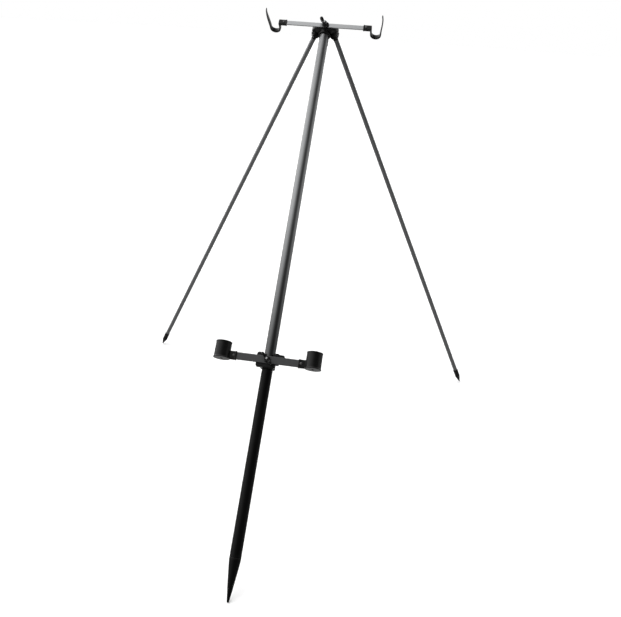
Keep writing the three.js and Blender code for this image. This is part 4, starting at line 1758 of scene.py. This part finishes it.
@dataclass(frozen=True)
class LowerClamp:
    """The split collar that carries the lower bar, with its pinch screw and nut.

    Attributes:
        ear: the pinch screw's line: across, and up the leg.
        screw: the pinch screw.
        screw_seat: where its head sits.
        nut: its nut.
        nut_seat: where the nut's middle is.
    """

    ear: tuple[float, float] = (38.5, -1144.0)
    screw: Screw = Screw(4.0, 2.6, 2.0, 27.6, Recess.HEXAGON, 0.8)
    screw_seat: float = -14.3
    nut: LockNut = LockNut(4.2, 3.2, 2.1)
    nut_seat: float = 9.9

    def build(self) -> None:
        """Builds the collar, pinch screw and nut."""
        saddle = Part("clamp_saddle", "lower_clamp", Slot.NYLON)
        build_moulded(saddle, cad_mesh(saddle.node), np.eye(4), Softening(0.65, 6))
        across, height = self.ear
        pinch = (("clamp_screw", self.screw, self.screw_seat), ("clamp_nut", self.nut, self.nut_seat))
        for node, piece, seat in pinch:
            part = Part(node, "lower_clamp", Slot.BLACK_STEEL)
            place_piece(part, piece.mesh(node), facing_front(across, seat, height))


# ---------------------------------------------------------------- studio


@dataclass(frozen=True)
class Glow:
    """A soft patch of light on the surround.

    Attributes:
        way: unit vector to its middle.
        ends: cosine of the angle from its middle at which it ends.
        full: cosine of the angle at which it is full.
        power: how bright it is in the middle.
    """

    way: Point
    ends: float
    full: float
    power: float

    def brightness(self, sheet: NodeSheet) -> bpy.types.NodeSocket:
        """Its brightness in each direction: a smooth step over the cosine to its middle.

        Args:
            sheet: the surround's nodes.

        Returns:
            The brightness.
        """
        toward = sheet.node("ShaderNodeTexCoord", {}).outputs["Generated"]
        facing = sheet.node("ShaderNodeVectorMath", {0: toward, 1: self.way}, operation="DOT_PRODUCT")
        edges = {0: facing.outputs["Value"], 1: self.ends, 2: self.full, 3: 0.0, 4: self.power}
        return sheet.node("ShaderNodeMapRange", edges, interpolation_type="SMOOTHSTEP").outputs[0]


@dataclass(frozen=True)
class Studio:
    """A pale floor, a soft surround and the camera.

    Attributes:
        camera: where it stands, in metres.
        pitch: how far it looks down, in degrees.
        yaw: how far it looks to the right, in degrees.
        roll: how far it is turned, in degrees.
        lens: focal length for a sensor 36 mm wide.
        key: the brightest part of the surround, at the upper left.
        rim: a weaker glow, behind at the right.
        dim: how bright the rest is.
        bounce: share of the light that the floor sends back up to the pieces.
        floor: radius of the floor, in metres.
    """

    camera: Point = (0.3177, -1.8698, 1.4158)
    pitch: float = 24.41
    yaw: float = -7.18
    roll: float = 3.78
    lens: float = 38.03
    key: Glow = Glow((-0.80, 0.35, 0.48), 0.0, 0.95, 2.74)
    rim: Glow = Glow((0.84, 0.53, 0.10), 0.62, 1.0, 1.1)
    dim: float = 0.16
    bounce: float = 0.45
    floor: float = 40.0

    def build(self) -> None:
        """Builds the floor, the surround and the camera."""
        self.build_floor()
        self.build_sky()
        self.build_camera()

    def build_floor(self) -> None:
        """A wide pale disc, a fifth of a millimetre under the feet."""
        turn = np.linspace(0, 2 * pi, 96, endpoint=False)
        edge = np.stack([self.floor * np.cos(turn), self.floor * np.sin(turn),
                         np.full_like(turn, -0.0002)], 1)
        mesh = bpy.data.meshes.new("floor")
        mesh.from_pydata(edge.tolist(), [], [list(range(96))])
        material = bpy.data.materials.new("pale_floor")
        sheet = NodeSheet(material)
        seen = sheet.node("ShaderNodeLightPath", {}).outputs["Is Camera Ray"]
        pale = sheet.tint(sheet.noise(sheet.space(), 3, 2), grey(0.93), grey(0.96))
        sheet.set(Base_Color=sheet.tint(seen, grey(self.bounce), pale), Roughness=0.9, Specular_IOR_Level=0.0)
        mesh.materials.append(material)
        added("floor", mesh)

    def build_sky(self) -> None:
        """A white surround that lights the pieces from the upper left and leaves the front dim."""
        world = bpy.data.worlds.new("studio")
        sheet = NodeSheet(world, "ShaderNodeBackground", "ShaderNodeOutputWorld")
        glows = sheet.math("ADD", self.key.brightness(sheet), self.rim.brightness(sheet))
        seen = sheet.node("ShaderNodeLightPath", {}).outputs["Is Camera Ray"]
        light = sheet.node("ShaderNodeMix", {0: seen, 2: sheet.math("ADD", glows, self.dim), 3: 1.0})
        sheet.set(Color=(1.0, 1.0, 1.0, 1.0), Strength=light.outputs[0])
        bpy.context.scene.world = world

    def build_camera(self) -> None:
        """The camera, from its place and its three angles."""
        p, y, r = (radians(angle) for angle in (self.pitch, self.yaw, self.roll))
        ahead = np.array([sin(y) * cos(p), cos(y) * cos(p), -sin(p)])
        right = np.array([cos(y), -sin(y), 0])
        up = np.cross(right, ahead)
        across, above = right * cos(r) + up * sin(r), up * cos(r) - right * sin(r)
        data = bpy.data.cameras.new("camera")
        data.sensor_width, data.lens = 36.0, self.lens
        camera = added("camera", data)
        camera.matrix_world = Matrix(basis(self.camera, across, above, -ahead).tolist())
        bpy.context.scene.camera = camera
        bpy.context.scene.view_settings.view_transform = "Standard"


def main() -> None:
    """Builds the studio and then each sub-assembly, from the main leg outwards."""
    logging.basicConfig(level=logging.INFO, format="%(message)s")
    top, lower = TopBar(), LowerBar()
    top_hold = BarFastening("top", "main_leg", front=-25.8, height=top.height, start=25.3, head=7.0, dome=3.5)
    low_hold = BarFastening("lower", "lower_clamp", front=-29.8, height=lower.height, start=-20.0, head=6.5,
                            dome=3.0)
    legs = [RearLeg(side, label) for side, label in SIDES]
    for assembly in (Studio(), MainLeg(), Head(), *legs, top, top_hold, LowerClamp(), lower, low_hold):
        assembly.build()


if __name__ == "__main__":
    main()
